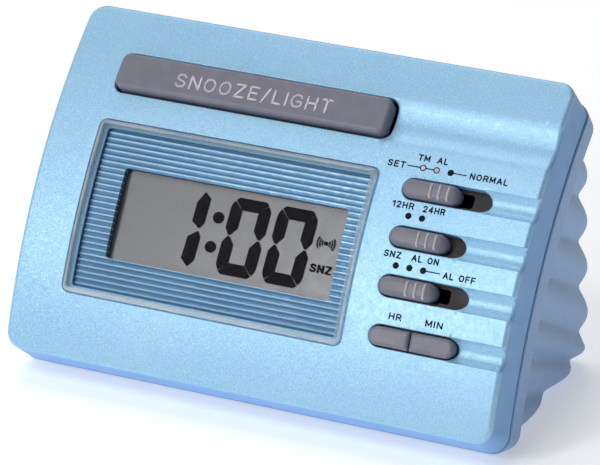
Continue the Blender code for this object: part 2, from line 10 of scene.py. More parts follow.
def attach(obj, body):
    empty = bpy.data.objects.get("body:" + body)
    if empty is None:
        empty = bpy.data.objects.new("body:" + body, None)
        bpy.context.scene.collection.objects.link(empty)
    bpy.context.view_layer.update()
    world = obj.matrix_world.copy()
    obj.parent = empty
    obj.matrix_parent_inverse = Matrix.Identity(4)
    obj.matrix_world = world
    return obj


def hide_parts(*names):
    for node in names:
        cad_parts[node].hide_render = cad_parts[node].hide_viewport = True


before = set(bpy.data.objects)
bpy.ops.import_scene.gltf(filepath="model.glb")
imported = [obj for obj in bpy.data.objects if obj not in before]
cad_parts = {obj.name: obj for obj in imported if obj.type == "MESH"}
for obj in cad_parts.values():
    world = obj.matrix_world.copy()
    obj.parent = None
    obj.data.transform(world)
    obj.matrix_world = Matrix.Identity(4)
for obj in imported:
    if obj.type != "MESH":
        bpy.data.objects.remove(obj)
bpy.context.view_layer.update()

MM = 0.001
GAP = 0.3

# The curved face: a cylinder along X, measured up its arc from its bottom edge.
FACE_RADIUS = 120.0
FACE_AXIS_Y = 84.99
FACE_AXIS_Z = -24.9
FACE_START = math.radians(15.5)
FACE_HALF_WIDTH = 55.0
FACE_HEIGHT = 76.5
FACE_CORNER = 3.5
FACE_FILLET = 0.9

SKIN = 2.0
WALL = 1.8
SEAM_H = -8.4
SIDE_FLARE = 0.7
BOTTOM_FLARE = 3.2
FLANGE_H = -14.0
FLANGE_GROWTH = 0.3

BODY_HALF_WIDTH = 53.6
BODY_TAPER = 0.045
BODY_CORNER = 3.5
RIB_PITCH = 8.85
RIB_FIRST = 2.9
RIB_DEPTH = 1.8
VALLEY_SOFTNESS = 0.03
RIB_FAN_END = math.radians(28.0)
BASE_Z = 1.2
REAR_Y = 29.93
REAR_START_Z = 14.0
REAR_LEAN = 0.16
BASE_BLEND = 12.0
BODY_WALL = 2.2
ROWS_PER_RIB = 16
CREST_ROWS = 144
FLANGE_ROUND = 0.5
FLANGE_RIM = 2.0

LENS = (-43.4, 19.8, 14.1, 50.7)
LENS_LEDGE = 1.2
LENS_SEAT_H = -1.4
LENS_SIDE_H = 0.25
LENS_TOP = 0.9
LCD_WINDOW = (-36.2, 14.9, 22.3, 41.8)
MASK_LINE_PITCH = 1.2616
MASK_LINE_FIRST = 16.0
BOARD_STATION = 32.0
LCD_TOP = -4.6

SNOOZE_SLOT = (-43.4, 19.4, 57.1, 66.2)
SLOT_HALF = 2.3
SWITCHES = {
    "time_set": (25.8, 44.9, 47.95),
    "hour_mode": (25.8, 41.9, 37.85),
    "alarm": (25.8, 44.9, 27.8),
}
KEY_SLOT = (25.8, 44.9, 17.6)
KEY_SPLIT = 35.0
KNOB_LENGTH = 12.4
KEY_BOTTOM = -1.4
KNOB_WIDTH = 3.9
KNOB_STEM = (4.0, 2.2, 5.0)
KNOB_SLOPE_START = 3.9
KNOB_SLOPE_DROP = 1.35
RIDGE_FIRST = 0.2
RIDGE_PITCH = 1.9
RIDGE_HALF_LENGTH = 1.68
KEY_STEM = (3.4, 2.2, 3.4)
CAP_GAP = 0.6
GROOVE_DEPTH = 1.5
CHANNEL_DEPTH = 1.5
SLOT_ROUND = 0.22
SNOOZE_ROUND = 0.3

SCREW_U = 47.5
SCREW_STATIONS = (6.5, 66.0)
TOWER_RADIUS = 4.2
BORE_RADIUS = 2.9
FOOT_RADIUS = 4.0
FOOT_PLACES = ((-41.0, -12.0), (41.0, -12.0), (-40.0, 13.0), (40.0, 13.0))
BATTERY_Z = 24.5
TRAY_HALF_LENGTH = 29.5
TRAY_HALF_HEIGHT = 9.0
TRAY_DEPTH = 19.5
DOOR_THICKNESS = 3.3
LINER_WALL = 1.5


# ---------------------------------------------------------------- materials

def linear(code):
    """Linear colour of a six-digit sRGB code."""
    parts = [int(code[i:i + 2], 16) / 255.0 for i in (0, 2, 4)]
    return tuple(c / 12.92 if c <= 0.04045 else ((c + 0.055) / 1.055) ** 2.4 for c in parts) + (1.0,)


class Surface:
    """A Principled material and short ways to add its nodes."""

    def __init__(self, name, roughness=0.5, metallic=0.0, **sockets):
        self.mat = bpy.data.materials.new(name)
        self.mat.use_nodes = True
        self.tree = self.mat.node_tree
        self.shader = self.tree.nodes["Principled BSDF"]
        self.shader.inputs["Roughness"].default_value = roughness
        self.shader.inputs["Metallic"].default_value = metallic
        for socket, value in sockets.items():
            self.shader.inputs[socket.replace("_", " ")].default_value = value
        self.place = self.node("ShaderNodeTexCoord").outputs["Object"]

    def node(self, kind, **settings):
        made = self.tree.nodes.new(kind)
        for key, value in settings.items():
            setattr(made, key, value)
        return made

    def link(self, source, target):
        self.tree.links.new(source, target)

    def noise(self, scale, detail=3.0, stretch=None):
        made = self.node("ShaderNodeTexNoise")
        made.inputs["Scale"].default_value = scale
        made.inputs["Detail"].default_value = detail
        place = self.place
        if stretch:
            mapping = self.node("ShaderNodeMapping")
            mapping.inputs["Scale"].default_value = stretch
            self.link(place, mapping.inputs["Vector"])
            place = mapping.outputs["Vector"]
        self.link(place, made.inputs["Vector"])
        return made.outputs["Fac"]

    def cells(self, size_mm):
        made = self.node("ShaderNodeTexVoronoi")
        made.inputs["Scale"].default_value = 1.0 / (size_mm * MM)
        self.link(self.place, made.inputs["Vector"])
        return made.outputs["Color"]

    def ramp(self, value, *stops):
        made = self.node("ShaderNodeValToRGB")
        ramp = made.color_ramp
        while len(ramp.elements) < len(stops):
            ramp.elements.new(0.5)
        for element, (position, colour) in zip(ramp.elements, stops):
            element.position = position
            element.color = colour if len(colour) == 4 else (*colour, 1.0)
        self.link(value, made.inputs["Fac"])
        return made.outputs["Color"]

    def grey(self, value, low, high, start=0.3, end=0.7):
        """Value spread between two numbers."""
        made = self.node("ShaderNodeMapRange")
        made.inputs["From Min"].default_value = start
        made.inputs["From Max"].default_value = end
        made.inputs["To Min"].default_value = low
        made.inputs["To Max"].default_value = high
        self.link(value, made.inputs["Value"])
        return made.outputs["Result"]

    def mix(self, factor, first, second, blend="MIX"):
        made = self.node("ShaderNodeMix", data_type="RGBA", blend_type=blend)
        for socket, value in ((0, factor), (6, first), (7, second)):
            if isinstance(value, (int, float, tuple)):
                made.inputs[socket].default_value = value
            else:
                self.link(value, made.inputs[socket])
        return made.outputs[2]

    def vector(self, operation, first, second):
        made = self.node("ShaderNodeVectorMath", operation=operation)
        for socket, value in ((0, first), (1, second)):
            if isinstance(value, tuple):
                made.inputs[socket].default_value = value
            elif value is not None:
                self.link(value, made.inputs[socket])
        return made.outputs["Vector"]

    def colour(self, value):
        if isinstance(value, tuple):
            self.shader.inputs["Base Color"].default_value = value
        else:
            self.link(value, self.shader.inputs["Base Color"])
        return self

    def tint(self, value, most, base, light):
        """Base colour that a pattern moves towards a lighter one."""
        return self.colour(self.mix(self.grey(value, 0.0, most), linear(base), linear(light)))

    def rough(self, value, low, high):
        self.link(self.grey(value, low, high), self.shader.inputs["Roughness"])
        return self

    def bump(self, value, distance_mm, strength=0.5):
        made = self.node("ShaderNodeBump")
        made.inputs["Strength"].default_value = strength
        made.inputs["Distance"].default_value = distance_mm * MM
        self.link(value, made.inputs["Height"])
        self.link(made.outputs["Normal"], self.shader.inputs["Normal"])
        return self


def flake_plastic(name, base, light, dark, metallic, roughness, grain, tilt):
    """Moulding compound full of fine metal flakes, each a little lighter or darker and tilted."""
    s = Surface(name, roughness, metallic, Specular_IOR_Level=0.6)
    cells = s.cells(grain)
    split = s.node("ShaderNodeSeparateColor")
    s.link(cells, split.inputs["Color"])
    fine = s.ramp(split.outputs["Red"], (0.0, linear(dark)), (0.35, linear(base)),
                  (0.8, linear(base)), (1.0, linear(light)))
    cloud = s.noise(60.0, 2.0)
    s.colour(s.mix(s.grey(cloud, 0.0, 0.12), fine, linear(light)))
    lean = s.vector("MULTIPLY", s.vector("SUBTRACT", cells, (0.5, 0.5, 0.5)), (tilt, tilt, tilt))
    normal = s.node("ShaderNodeNewGeometry").outputs["Normal"]
    s.link(s.vector("NORMALIZE", s.vector("ADD", normal, lean), None), s.shader.inputs["Normal"])
    s.rough(s.noise(900.0, 2.0), roughness - 0.04, roughness + 0.05)
    return s.mat


def satin_plastic(name, base, light, roughness=0.45, grain=0.35, depth=0.012):
    """Plain moulded plastic with a fine spark-eroded grain and faint handling marks."""
    s = Surface(name, roughness, Specular_IOR_Level=0.45)
    s.tint(s.noise(350.0), 0.6, base, light)
    s.rough(s.noise(160.0, 4.0), roughness - 0.07, roughness + 0.07)
    s.bump(s.noise(1000.0 / grain, 2.0), depth)
    return s.mat


def plated_metal(name, base, light, roughness=0.28):
    s = Surface(name, roughness, 1.0)
    s.tint(s.noise(500.0, 4.0), 1.0, base, light)
    s.rough(s.noise(900.0, 4.0, (1.0, 1.0, 6.0)), roughness - 0.1, roughness + 0.12)
    s.bump(s.noise(2500.0, 2.0, (1.0, 1.0, 5.0)), 0.01, 0.3)
    return s.mat


def rubber(name, base="1C1C1F", light="2B2B2E"):
    s = Surface(name, 0.8, Specular_IOR_Level=0.3)
    s.colour(s.mix(s.noise(700.0, 3.0), linear(base), linear(light)))
    s.rough(s.noise(500.0, 3.0), 0.7, 0.9)
    s.bump(s.noise(3200.0, 3.0), 0.03)
    return s.mat


def lens_clear():
    """Clear acrylic: it passes what is behind it and mirrors more at a low angle."""
    s = Surface("lens_clear", 0.04, 1.0)
    s.colour((0.15, 0.17, 0.2, 1.0))
    s.rough(s.noise(250.0, 2.0), 0.02, 0.06)
    fresnel = s.node("ShaderNodeFresnel")
    fresnel.inputs["IOR"].default_value = 1.49
    s.link(fresnel.outputs["Fac"], s.shader.inputs["Alpha"])
    return s.mat


def lens_edge_painted_glint():
    """Polished bevel of the lens, painted near white in streaks as a glint in place of the light it gathers.
    """
    s = Surface("lens_edge_painted_glint", 0.08, 0.0, Specular_IOR_Level=0.9)
    # Near-white streaks: painted glint.
    painted_glint_streaks = s.noise(220.0, 3.0, (0.5, 1.0, 1.0))
    s.colour(s.ramp(painted_glint_streaks, (0.35, linear("D2E4F5")), (0.62, linear("FCFEFF"))))
    s.rough(s.noise(600.0, 2.0), 0.04, 0.14)
    layer = s.node("ShaderNodeLayerWeight")
    layer.inputs["Blend"].default_value = 0.35
    s.link(s.grey(layer.outputs["Facing"], 0.5, 0.9, 0.0, 1.0), s.shader.inputs["Alpha"])
    return s.mat


def mask_painted_ridge_light():
    """Blue plate with fine ridges; the lit line on each ridge is a painted highlight and the darker band
    beside it painted shade, both set by the ridges' height, which is stored with the mesh.
    """
    s = Surface("mask_painted_ridge_light", 0.36, 0.25, Specular_IOR_Level=0.5)
    lift_and_painted_light = s.node("ShaderNodeAttribute", attribute_name="lift_and_painted_light").outputs["Fac"]
    # Ramp from painted shade in the hollows to a near-white painted highlight on the ridge tops.
    painted_shade_ramp = s.ramp(lift_and_painted_light, (0.0, linear("37739F")), (0.45, linear("4F8CBE")), (0.72, linear("649FCE")),
                  (0.9, linear("B7DFF6")))
    s.colour(s.mix(s.grey(s.noise(40.0, 2.0), 0.0, 0.18), painted_shade_ramp, linear("8FC0E4")))
    s.rough(s.noise(800.0, 2.0), 0.3, 0.44)
    return s.mat


def lcd_glass():
    s = Surface("lcd_grey", 0.32, 0.15, Specular_IOR_Level=0.5)
    speckle = s.ramp(s.noise(5200.0, 2.0), (0.3, linear("818286")), (0.7, linear("939498")))
    s.colour(s.mix(s.grey(s.noise(35.0, 2.0), 0.0, 0.25), speckle, linear("8A8A8F")))
    s.rough(s.noise(300.0, 2.0), 0.28, 0.38)
    s.bump(s.noise(6000.0, 1.0), 0.004, 0.3)
    return s.mat


def ink(name, base, light):
    s = Surface(name, 0.6, Specular_IOR_Level=0.15)
    s.tint(s.noise(900.0, 2.0), 1.0, base, light)
    s.rough(s.noise(700.0, 2.0), 0.55, 0.75)
    return s.mat


def board_green():
    s = Surface("board_green", 0.35, Specular_IOR_Level=0.5)
    tracks = s.node("ShaderNodeTexBrick")
    tracks.inputs["Scale"].default_value = 140.0
    tracks.inputs["Mortar Size"].default_value = 0.03
    tracks.inputs["Color1"].default_value = linear("08301C")
    tracks.inputs["Color2"].default_value = linear("0A3A22")
    tracks.inputs["Mortar"].default_value = linear("14532F")
    s.link(s.place, tracks.inputs["Vector"])
    s.colour(s.mix(s.grey(s.noise(90.0), 0.0, 0.3), tracks.outputs["Color"], linear("062818")))
    s.rough(s.noise(500.0), 0.28, 0.45)
    return s.mat


def battery_sleeve():
    """Plain printed sleeve: dark, with a copper-coloured band at the positive end."""
    s = Surface("battery_sleeve", 0.3, 0.6, Specular_IOR_Level=0.5)
    split = s.node("ShaderNodeSeparateXYZ")
    s.link(s.place, split.inputs["Vector"])
    bands = s.ramp(s.grey(split.outputs["X"], 0.0, 1.0, -0.025, 0.025), (0.0, linear("B9BBBE")),
                   (0.03, linear("24262C")), (0.68, linear("24262C")), (0.69, linear("B9793F")),
                   (0.955, linear("B9793F")), (0.965, linear("C9CBCE")))
    bands.node.color_ramp.interpolation = "CONSTANT"
    s.colour(s.mix(s.grey(s.noise(400.0), 0.0, 0.15), bands, linear("6B6E75")))
    s.rough(s.noise(600.0), 0.22, 0.4)
    return s.mat


def light_guide():
    s = Surface("light_guide", 0.35, Specular_IOR_Level=0.5)
    s.colour(s.mix(s.noise(300.0), linear("DCE9DF"), linear("EFF6F0")))
    s.rough(s.noise(800.0), 0.25, 0.45)
    return s.mat


def floor_paper():
    s = Surface("floor_paper", 0.9, Specular_IOR_Level=0.1)
    s.colour(s.mix(s.noise(30.0), linear("F4F5F7"), linear("FBFBFC")))
    s.rough(s.noise(200.0), 0.85, 0.95)
    s.shader.inputs["Emission Color"].default_value = (1.0, 1.0, 1.0, 1.0)
    s.shader.inputs["Emission Strength"].default_value = 0.36
    return s.mat


def make_materials():
    return {
        "face": flake_plastic("front_flake", "95C9EB", "C6E4F6", "82B4DB", 0.28, 0.4, 0.1, 0.15),
        "back": flake_plastic("back_flake", "7EA3CF", "9DBDE0", "6890BF", 0.28, 0.44, 0.1, 0.12),
        # Walls of the front case: a darker copy of the case blue, painted shade for sides that get less
        # light.
        "wall": satin_plastic("wall_blue_painted_shade", "78ACE2", "84B6EA", 0.45),
        # Black for the ring in the gap between mask and LCD: painted shade.
        "gap_shade": satin_plastic("gap_shade_black", "1C2026", "24282F", 0.6),
        "lens": lens_clear(),
        "edge": lens_edge_painted_glint(),
        "mask": mask_painted_ridge_light(),
        "lcd": lcd_glass(),
        "digit": ink("digit_dark", "0C0A10", "131017"),
        "print": ink("label_black", "0D0E12", "17181D"),
        "letter": ink("letter_grey", "C4C1C8", "D6D4DA"),
        "grip": satin_plastic("grip_grey", "727280", "80808E", 0.42),
        # Knob ridges: a lighter copy of the knob grey, painted highlight.
        "ridge": satin_plastic("ridge_grey_painted_highlight", "BDB9BE", "CFCBD0", 0.4),
        "black": satin_plastic("inner_black", "1C181B", "262125", 0.55),
        "rubber": rubber("foot_rubber"),
        "steel": plated_metal("plated_steel", "A9ABAE", "CDCFD2"),
        "brass": plated_metal("contact_brass", "B9904F", "D8B36C", 0.3),
        "board": board_green(),
        "battery": battery_sleeve(),
        "guide": light_guide(),
        "floor": floor_paper(),
    }


# ---------------------------------------------------------------- meshes

def add_piece(name, bm, mats, matrix=None, sharp=32.0, weighted=True):
    """Turns a bmesh in millimetres into a shaded object; matrix places it, in metres."""
    bmesh.ops.scale(bm, vec=(MM, MM, MM), verts=bm.verts)
    mesh = bpy.data.meshes.new(name)
    bm.to_mesh(mesh)
    bm.free()
    if matrix is not None:
        mesh.transform(matrix)
    for mat in mats:
        mesh.materials.append(mat)
    mesh.shade_smooth()
    mesh.set_sharp_from_angle(angle=math.radians(sharp))
    item = bpy.data.objects.new(name, mesh)
    bpy.context.scene.collection.objects.link(item)
    if weighted:
        step = item.modifiers.new("normals", "WEIGHTED_NORMAL")
        step.keep_sharp = True
        step.weight = 60
    return item


def evaluated(item):
    """The object's mesh after its modifiers."""
    bpy.context.view_layer.update()
    depsgraph = bpy.context.evaluated_depsgraph_get()
    return bpy.data.meshes.new_from_object(item.evaluated_get(depsgraph))


def combine(bm, tools, operation):
    """Boolean of a bmesh in millimetres with others; it gives a new bmesh."""
    objects = []
    for shape in (bm, *tools):
        bmesh.ops.recalc_face_normals(shape, faces=shape.faces)
        mesh = bpy.data.meshes.new("tool")
        shape.to_mesh(mesh)
        shape.free()
        item = bpy.data.objects.new("tool", mesh)
        bpy.context.scene.collection.objects.link(item)
        objects.append(item)
    for tool in objects[1:]:
        step = objects[0].modifiers.new("cut", "BOOLEAN")
        step.object = tool
        step.operation = operation
        step.solver = "EXACT"
    mesh = evaluated(objects[0])
    made = bmesh.new()
    made.from_mesh(mesh)
    bpy.data.meshes.remove(mesh)
    for item in objects:
        bpy.data.objects.remove(item, do_unlink=True)
    return made


def merge(*shapes):
    """One bmesh holding several separate shapes."""
    made = bmesh.new()
    for shape in shapes:
        mesh = bpy.data.meshes.new("part")
        shape.to_mesh(mesh)
        shape.free()
        made.from_mesh(mesh)
        bpy.data.meshes.remove(mesh)
    return made


def outline(left, right, low, high, radius, steps=8):
    """Rounded rectangle as a ring of points, anticlockwise."""
    corners = (
        (right - radius, low + radius, -90),
        (right - radius, high - radius, 0),
        (left + radius, high - radius, 90),
        (left + radius, low + radius, 180),
    )
    ring = []
    for x, y, start in corners:
        for step in range(steps + 1):
            angle = math.radians(start + 90.0 * step / steps)
            ring.append((x + radius * math.cos(angle), y + radius * math.sin(angle)))
    return ring


def strip(bm, rings):
    """Joins rings of (points, height) of the same count by quads; it gives the rings' vertices."""
    made = [[bm.verts.new((x, y, z)) for x, y in points] for points, z in rings]
    for below, above in zip(made, made[1:]):
        for i in range(len(below)):
            j = (i + 1) % len(below)
            bm.faces.new((below[i], below[j], above[j], above[i]))
    return made


def loft(rings):
    """Closed solid through rings of (points, height)."""
    bm = bmesh.new()
    made = strip(bm, rings)
    bm.faces.new(list(reversed(made[0])))
    bm.faces.new(made[-1])
    return bm


def block(size, centre):
    bm = bmesh.new()
    place = Matrix.Translation(centre) @ Matrix.Diagonal((*size, 1.0))
    bmesh.ops.create_cube(bm, size=1.0, matrix=place)
    return bm


def rod(radius, low, high, segments, matrix=None):
    """Closed cylinder along Z; the matrix works in millimetres."""
    ring = [(radius * math.cos(2 * math.pi * i / segments), radius * math.sin(2 * math.pi * i / segments))
            for i in range(segments)]
    bm = loft([(ring, low), (ring, high)])
    if matrix is not None:
        bmesh.ops.transform(bm, matrix=matrix, verts=bm.verts)
    return bm


def on_face(u, s, h):
    """Point at U across, S up and H out of the curved face, in millimetres."""
    angle = FACE_START + s / FACE_RADIUS
    reach = FACE_RADIUS + h
    return Vector((u, FACE_AXIS_Y - reach * math.cos(angle), FACE_AXIS_Z + reach * math.sin(angle)))


def face_frame(u, s, h=0.0, unit=MM):
    """Matrix whose X runs across the face, Y up it and Z out of it, at one point."""
    lean = math.pi / 2 - FACE_START - s / FACE_RADIUS
    return Matrix.Translation(on_face(u, s, h) * unit) @ Matrix.Rotation(lean, 4, "X")


def slice_rows(bm, stations):
    for station in stations:
        geometry = bm.verts[:] + bm.edges[:] + bm.faces[:]
        bmesh.ops.bisect_plane(bm, geom=geometry, plane_co=(0, station, 0), plane_no=(0, 1, 0),
                               dist=0.0004)


def spaced(low, high, count):
    return [low + (high - low) * i / count for i in range(count + 1)]


def wrap(bm):
    """Bends a flat shape in U, S, H round the face."""
    for vert in bm.verts:
        vert.co = on_face(*vert.co)
    return bm


# ---------------------------------------------------------------- front case

def groove_rows():
    """Right end of each slot, its middle, and the half width and depth of the groove beside it."""
    rows = [(right - SLOT_HALF, station, SLOT_HALF + SLOT_ROUND, GROOVE_DEPTH)
            for _left, right, station in (*SWITCHES.values(), KEY_SLOT)]
    middle = (SNOOZE_SLOT[2] + SNOOZE_SLOT[3]) / 2
    half = (SNOOZE_SLOT[3] - SNOOZE_SLOT[2]) / 2 + SNOOZE_ROUND
    rows.append((SNOOZE_SLOT[1] - 2.0, middle, half, CHANNEL_DEPTH))
    return rows


GROOVES = groove_rows()


def dip(u, s):
    """How far the face is sunk at a point by the grooves that run out through its right edge."""
    for start, middle, half, depth in GROOVES:
        away = abs(s - middle)
        if u > start + 0.01 and away < half:
            radius = (half * half + depth * depth) / (2 * depth)
            ramp = min(1.0, (u - start) / 2.0)
            return -ramp * (math.sqrt(radius * radius - away * away) - (radius - depth))
    return 0.0


def case_ring(grow, h, steps=10):
    """Outline of the front case at depth h, grown by some millimetres all round."""
    back = max(0.0, -h - FACE_FILLET) / (-SEAM_H - FACE_FILLET)
    side = FACE_HALF_WIDTH + SIDE_FLARE * back + grow
    low = -BOTTOM_FLARE * back - grow
    high = FACE_HEIGHT + SIDE_FLARE * back + grow
    return outline(-side, side, low, high, FACE_CORNER + back + min(grow, 0.0) * 0.5, steps)


def fill_between(bm, loops):
    """Fills the flat area inside the first loop and outside the others."""
    edges = []
    for loop in loops:
        for i, vert in enumerate(loop):
            edges.append(bm.edges.get((vert, loop[(i + 1) % len(loop)])))
    bmesh.ops.triangle_fill(bm, use_beauty=True, use_dissolve=False, edges=edges)


def hole_rings(left, right, low, high, radius, lip):
    """Rings of a hole in the face, from its rounded lip at the top down to the back of the skin."""
    rings = []
    for step in range(5):
        angle = math.pi / 2 * step / 4
        grow = lip * (1 - math.sin(angle))
        h = -lip * (1 - math.cos(angle))
        rings.append((outline(left - grow, right + grow, low - grow, high + grow, radius + grow), h))
    rings.append((outline(left, right, low, high, radius), -SKIN))
    return rings


def face_holes():
    holes = [(*SNOOZE_SLOT, 2.0, SNOOZE_ROUND)]
    for left, right, station in (*SWITCHES.values(), KEY_SLOT):
        holes.append((left, right, station - SLOT_HALF, station + SLOT_HALF, SLOT_HALF - 0.001,
                      SLOT_ROUND))
    return holes


def face_stations():
    rows = set(round(i * 1.5, 3) for i in range(-2, 53))
    for _start, middle, half, _depth in GROOVES:
        count = 12 if half < 3 else 18
        rows |= set(round(middle + half * math.sin(math.pi / 2 * i / count), 3)
                    for i in range(-count, count + 1))
    kept = []
    for station in sorted(rows):
        if not kept or station - kept[-1] > 0.02:
            kept.append(station)
    return kept


def make_front(mats):
    bm = bmesh.new()
    outer = [(case_ring(0.0, h), h) for h in (SEAM_H, -7.8, -6.0, -4.0, -2.2, -1.2)]
    for step in range(7):
        angle = math.pi / 2 * step / 6
        h = -FACE_FILLET * (1 - math.sin(angle))
        outer.append((case_ring(-FACE_FILLET * (1 - math.cos(angle)), h), h))
    shell = strip(bm, outer)
    inner = strip(bm, [(case_ring(-WALL, -SKIN), -SKIN), (case_ring(-WALL, SEAM_H), SEAM_H)])
    for i in range(len(shell[0])):
        j = (i + 1) % len(shell[0])
        bm.faces.new((shell[0][j], shell[0][i], inner[1][i], inner[1][j]))
    tops, backs = [shell[-1]], [inner[0]]
    for left, right, low, high, radius, lip in face_holes():
        rings = strip(bm, hole_rings(left, right, low, high, radius, lip))
        tops.append(rings[0])
        backs.append(rings[-1])
    seat = (LENS[0] - GAP, LENS[1] + GAP, LENS[2] - GAP, LENS[3] + GAP)
    rings = hole_rings(*seat, 1.6, 0.25)[:-1]
    rings.append((outline(*seat, 1.6), LENS_SEAT_H))
    ledge = outline(LENS[0] + LENS_LEDGE, LENS[1] - LENS_LEDGE, LENS[2] + LENS_LEDGE,
                    LENS[3] - LENS_LEDGE, 0.8)
    rings += [(ledge, LENS_SEAT_H), (ledge, -SKIN)]
    rings = strip(bm, rings)
    tops.append(rings[0])
    backs.append(rings[-1])
    fill_between(bm, tops)
    fill_between(bm, backs)
    slice_rows(bm, face_stations())
    for vert in bm.verts:
        u, s, h = vert.co
        sink = dip(u, min(max(s, 0.0), FACE_HEIGHT))
        if sink and h > -7.0:
            share = 1.0 if h > -FACE_FILLET - 0.01 else max(0.0, (h + 7.0) / (7.0 - FACE_FILLET))
            vert.co.z = h + sink * share
    bmesh.ops.recalc_face_normals(bm, faces=bm.faces)
    # Walls below the face fillet take the darker blue: painted shade.
    for face in bm.faces:
        if face.calc_center_median().z < -FACE_FILLET and abs(face.normal.z) < 0.7:
            face.material_index = 1
    case = add_piece("front_shell", wrap(bm), mats, sharp=38.0)
    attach(case, "housing")
    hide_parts("front_case")


# ---------------------------------------------------------------- back case

def rib_line(v):
    """Start and slope, in the YZ plane, of the line that a rib follows front to back."""
    reach = FACE_RADIUS + FLANGE_H
    fan = reach * (RIB_FAN_END - FACE_START)
    if v < fan:
        angle = FACE_START + v / reach
        slope = angle
    else:
        angle = RIB_FAN_END + math.asin((v - fan) / reach)
        slope = RIB_FAN_END
    start = (FACE_AXIS_Y - reach * math.cos(angle), FACE_AXIS_Z + reach * math.sin(angle))
    return start, slope


def rib_length(v):
    """Distance along a rib's line from the flange to the base or the rear wall."""
    (y, z), slope = rib_line(v)
    to_base = (z - BASE_Z) / math.sin(slope)
    to_rear = ((REAR_Y - REAR_LEAN * (z - REAR_START_Z) - y)
               / (math.cos(slope) - REAR_LEAN * math.sin(slope)))
    mix = max(BASE_BLEND - abs(to_base - to_rear), 0.0)
    return min(to_base, to_rear) - mix * mix / (4 * BASE_BLEND)


def rib_wave(v):
    """Depth of the surface below the rib crests: round crests and tight, rounded valleys."""
    swing = math.cos(math.pi * (v - RIB_FIRST) / RIB_PITCH)
    return RIB_DEPTH * (1.0 - math.sqrt(swing ** 2 + VALLEY_SOFTNESS))


def body_row(v, inset, front, steps=10, along_side=8, across=10):
    """U-shaped row of points round the body along one rib line, from right to left."""
    (y, z), slope = rib_line(v)
    length = rib_length(v) - inset
    corner = min(BODY_CORNER, 0.7 * length)
    half = BODY_HALF_WIDTH - inset
    path = [(half - BODY_TAPER * at, at) for at in spaced(front, length - corner, along_side)[:-1]]
    for step in range(steps + 1):
        angle = math.pi / 2 * step / steps
        path.append((half - BODY_TAPER * length - corner * (1 - math.cos(angle)),
                     length - corner * (1 - math.sin(angle))))
    end = path[-1][0]
    middle = [(at, length) for at in spaced(end, -end, across)[1:-1]]
    path += middle + [(-side, along) for side, along in reversed(path)]
    return [(side, y + along * math.cos(slope), z - along * math.sin(slope))
            for side, along in path]


def body_loft(stations, inset, front, waves):
    """Closed solid through the body's rows."""
    bm = bmesh.new()
    rows = []
    for v in stations:
        depth = inset + (rib_wave(v) if waves else RIB_DEPTH)
        rows.append([bm.verts.new(point) for point in body_row(v, depth, front)])
    for below, above in zip(rows, rows[1:]):
        for i in range(len(below) - 1):
            bm.faces.new((below[i], below[i + 1], above[i + 1], above[i]))
        bm.faces.new((below[-1], below[0], above[0], above[-1]))
    bm.faces.new(list(reversed(rows[0])))
    bm.faces.new(rows[-1])
    return bm


def body_top():
    reach = FACE_RADIUS + FLANGE_H
    end = FACE_START + FACE_HEIGHT / FACE_RADIUS
    return reach * (RIB_FAN_END - FACE_START) + reach * math.sin(end - RIB_FAN_END)


def rib_stations():
    step = RIB_PITCH / ROWS_PER_RIB
    top = body_top()
    rows = (RIB_FIRST + step * i for i in range(-ROWS_PER_RIB // 2, CREST_ROWS))
    inner = [v for v in rows if 0.6 < v < top - 0.6]
    return [0.4] + inner + [top - 0.4]


def rear_frame(unit=1.0):
    """Frame on the rear wall at the battery: Z points out of the wall and Y down it."""
    y = REAR_Y - REAR_LEAN * (BATTERY_Z - REAR_START_Z)
    turn = Matrix.Rotation(math.atan(REAR_LEAN) - math.pi / 2, 4, "X")
    return Matrix.Translation(Vector((0.0, y, BATTERY_Z)) * unit) @ turn


def screw_axes():
    turn = Matrix.Rotation(-(math.pi / 2 + RIB_FAN_END), 4, "X")
    return [Matrix.Translation(on_face(u, station, SEAM_H)) @ turn
            for station in SCREW_STATIONS for u in (-SCREW_U, SCREW_U)]


def flange():
    """Band behind the seam, with a rounded rear edge."""
    front = SEAM_H - GAP
    outer = []
    for step in range(5):
        angle = math.pi / 2 * step / 4
        grow = FLANGE_GROWTH - FLANGE_ROUND * (1 - math.sin(angle))
        outer.append((case_ring(grow, SEAM_H), FLANGE_H + FLANGE_ROUND * (1 - math.cos(angle))))
    outer.append((case_ring(FLANGE_GROWTH, SEAM_H), front - 0.25))
    outer.append((case_ring(FLANGE_GROWTH - 0.2, SEAM_H), front))
    rear = (case_ring(-2 * FLANGE_RIM, SEAM_H), FLANGE_H)
    inner = (case_ring(-FLANGE_RIM, SEAM_H), front)
    bm = bmesh.new()
    made = strip(bm, [inner, (case_ring(-FLANGE_RIM, SEAM_H), FLANGE_H + 1.0), rear, *outer])
    first, last = made[0], made[-1]
    for i in range(len(first)):
        j = (i + 1) % len(first)
        bm.faces.new((last[i], last[j], first[j], first[i]))
    slice_rows(bm, spaced(-3.0, FACE_HEIGHT + 0.5, 40))
    return wrap(bm)


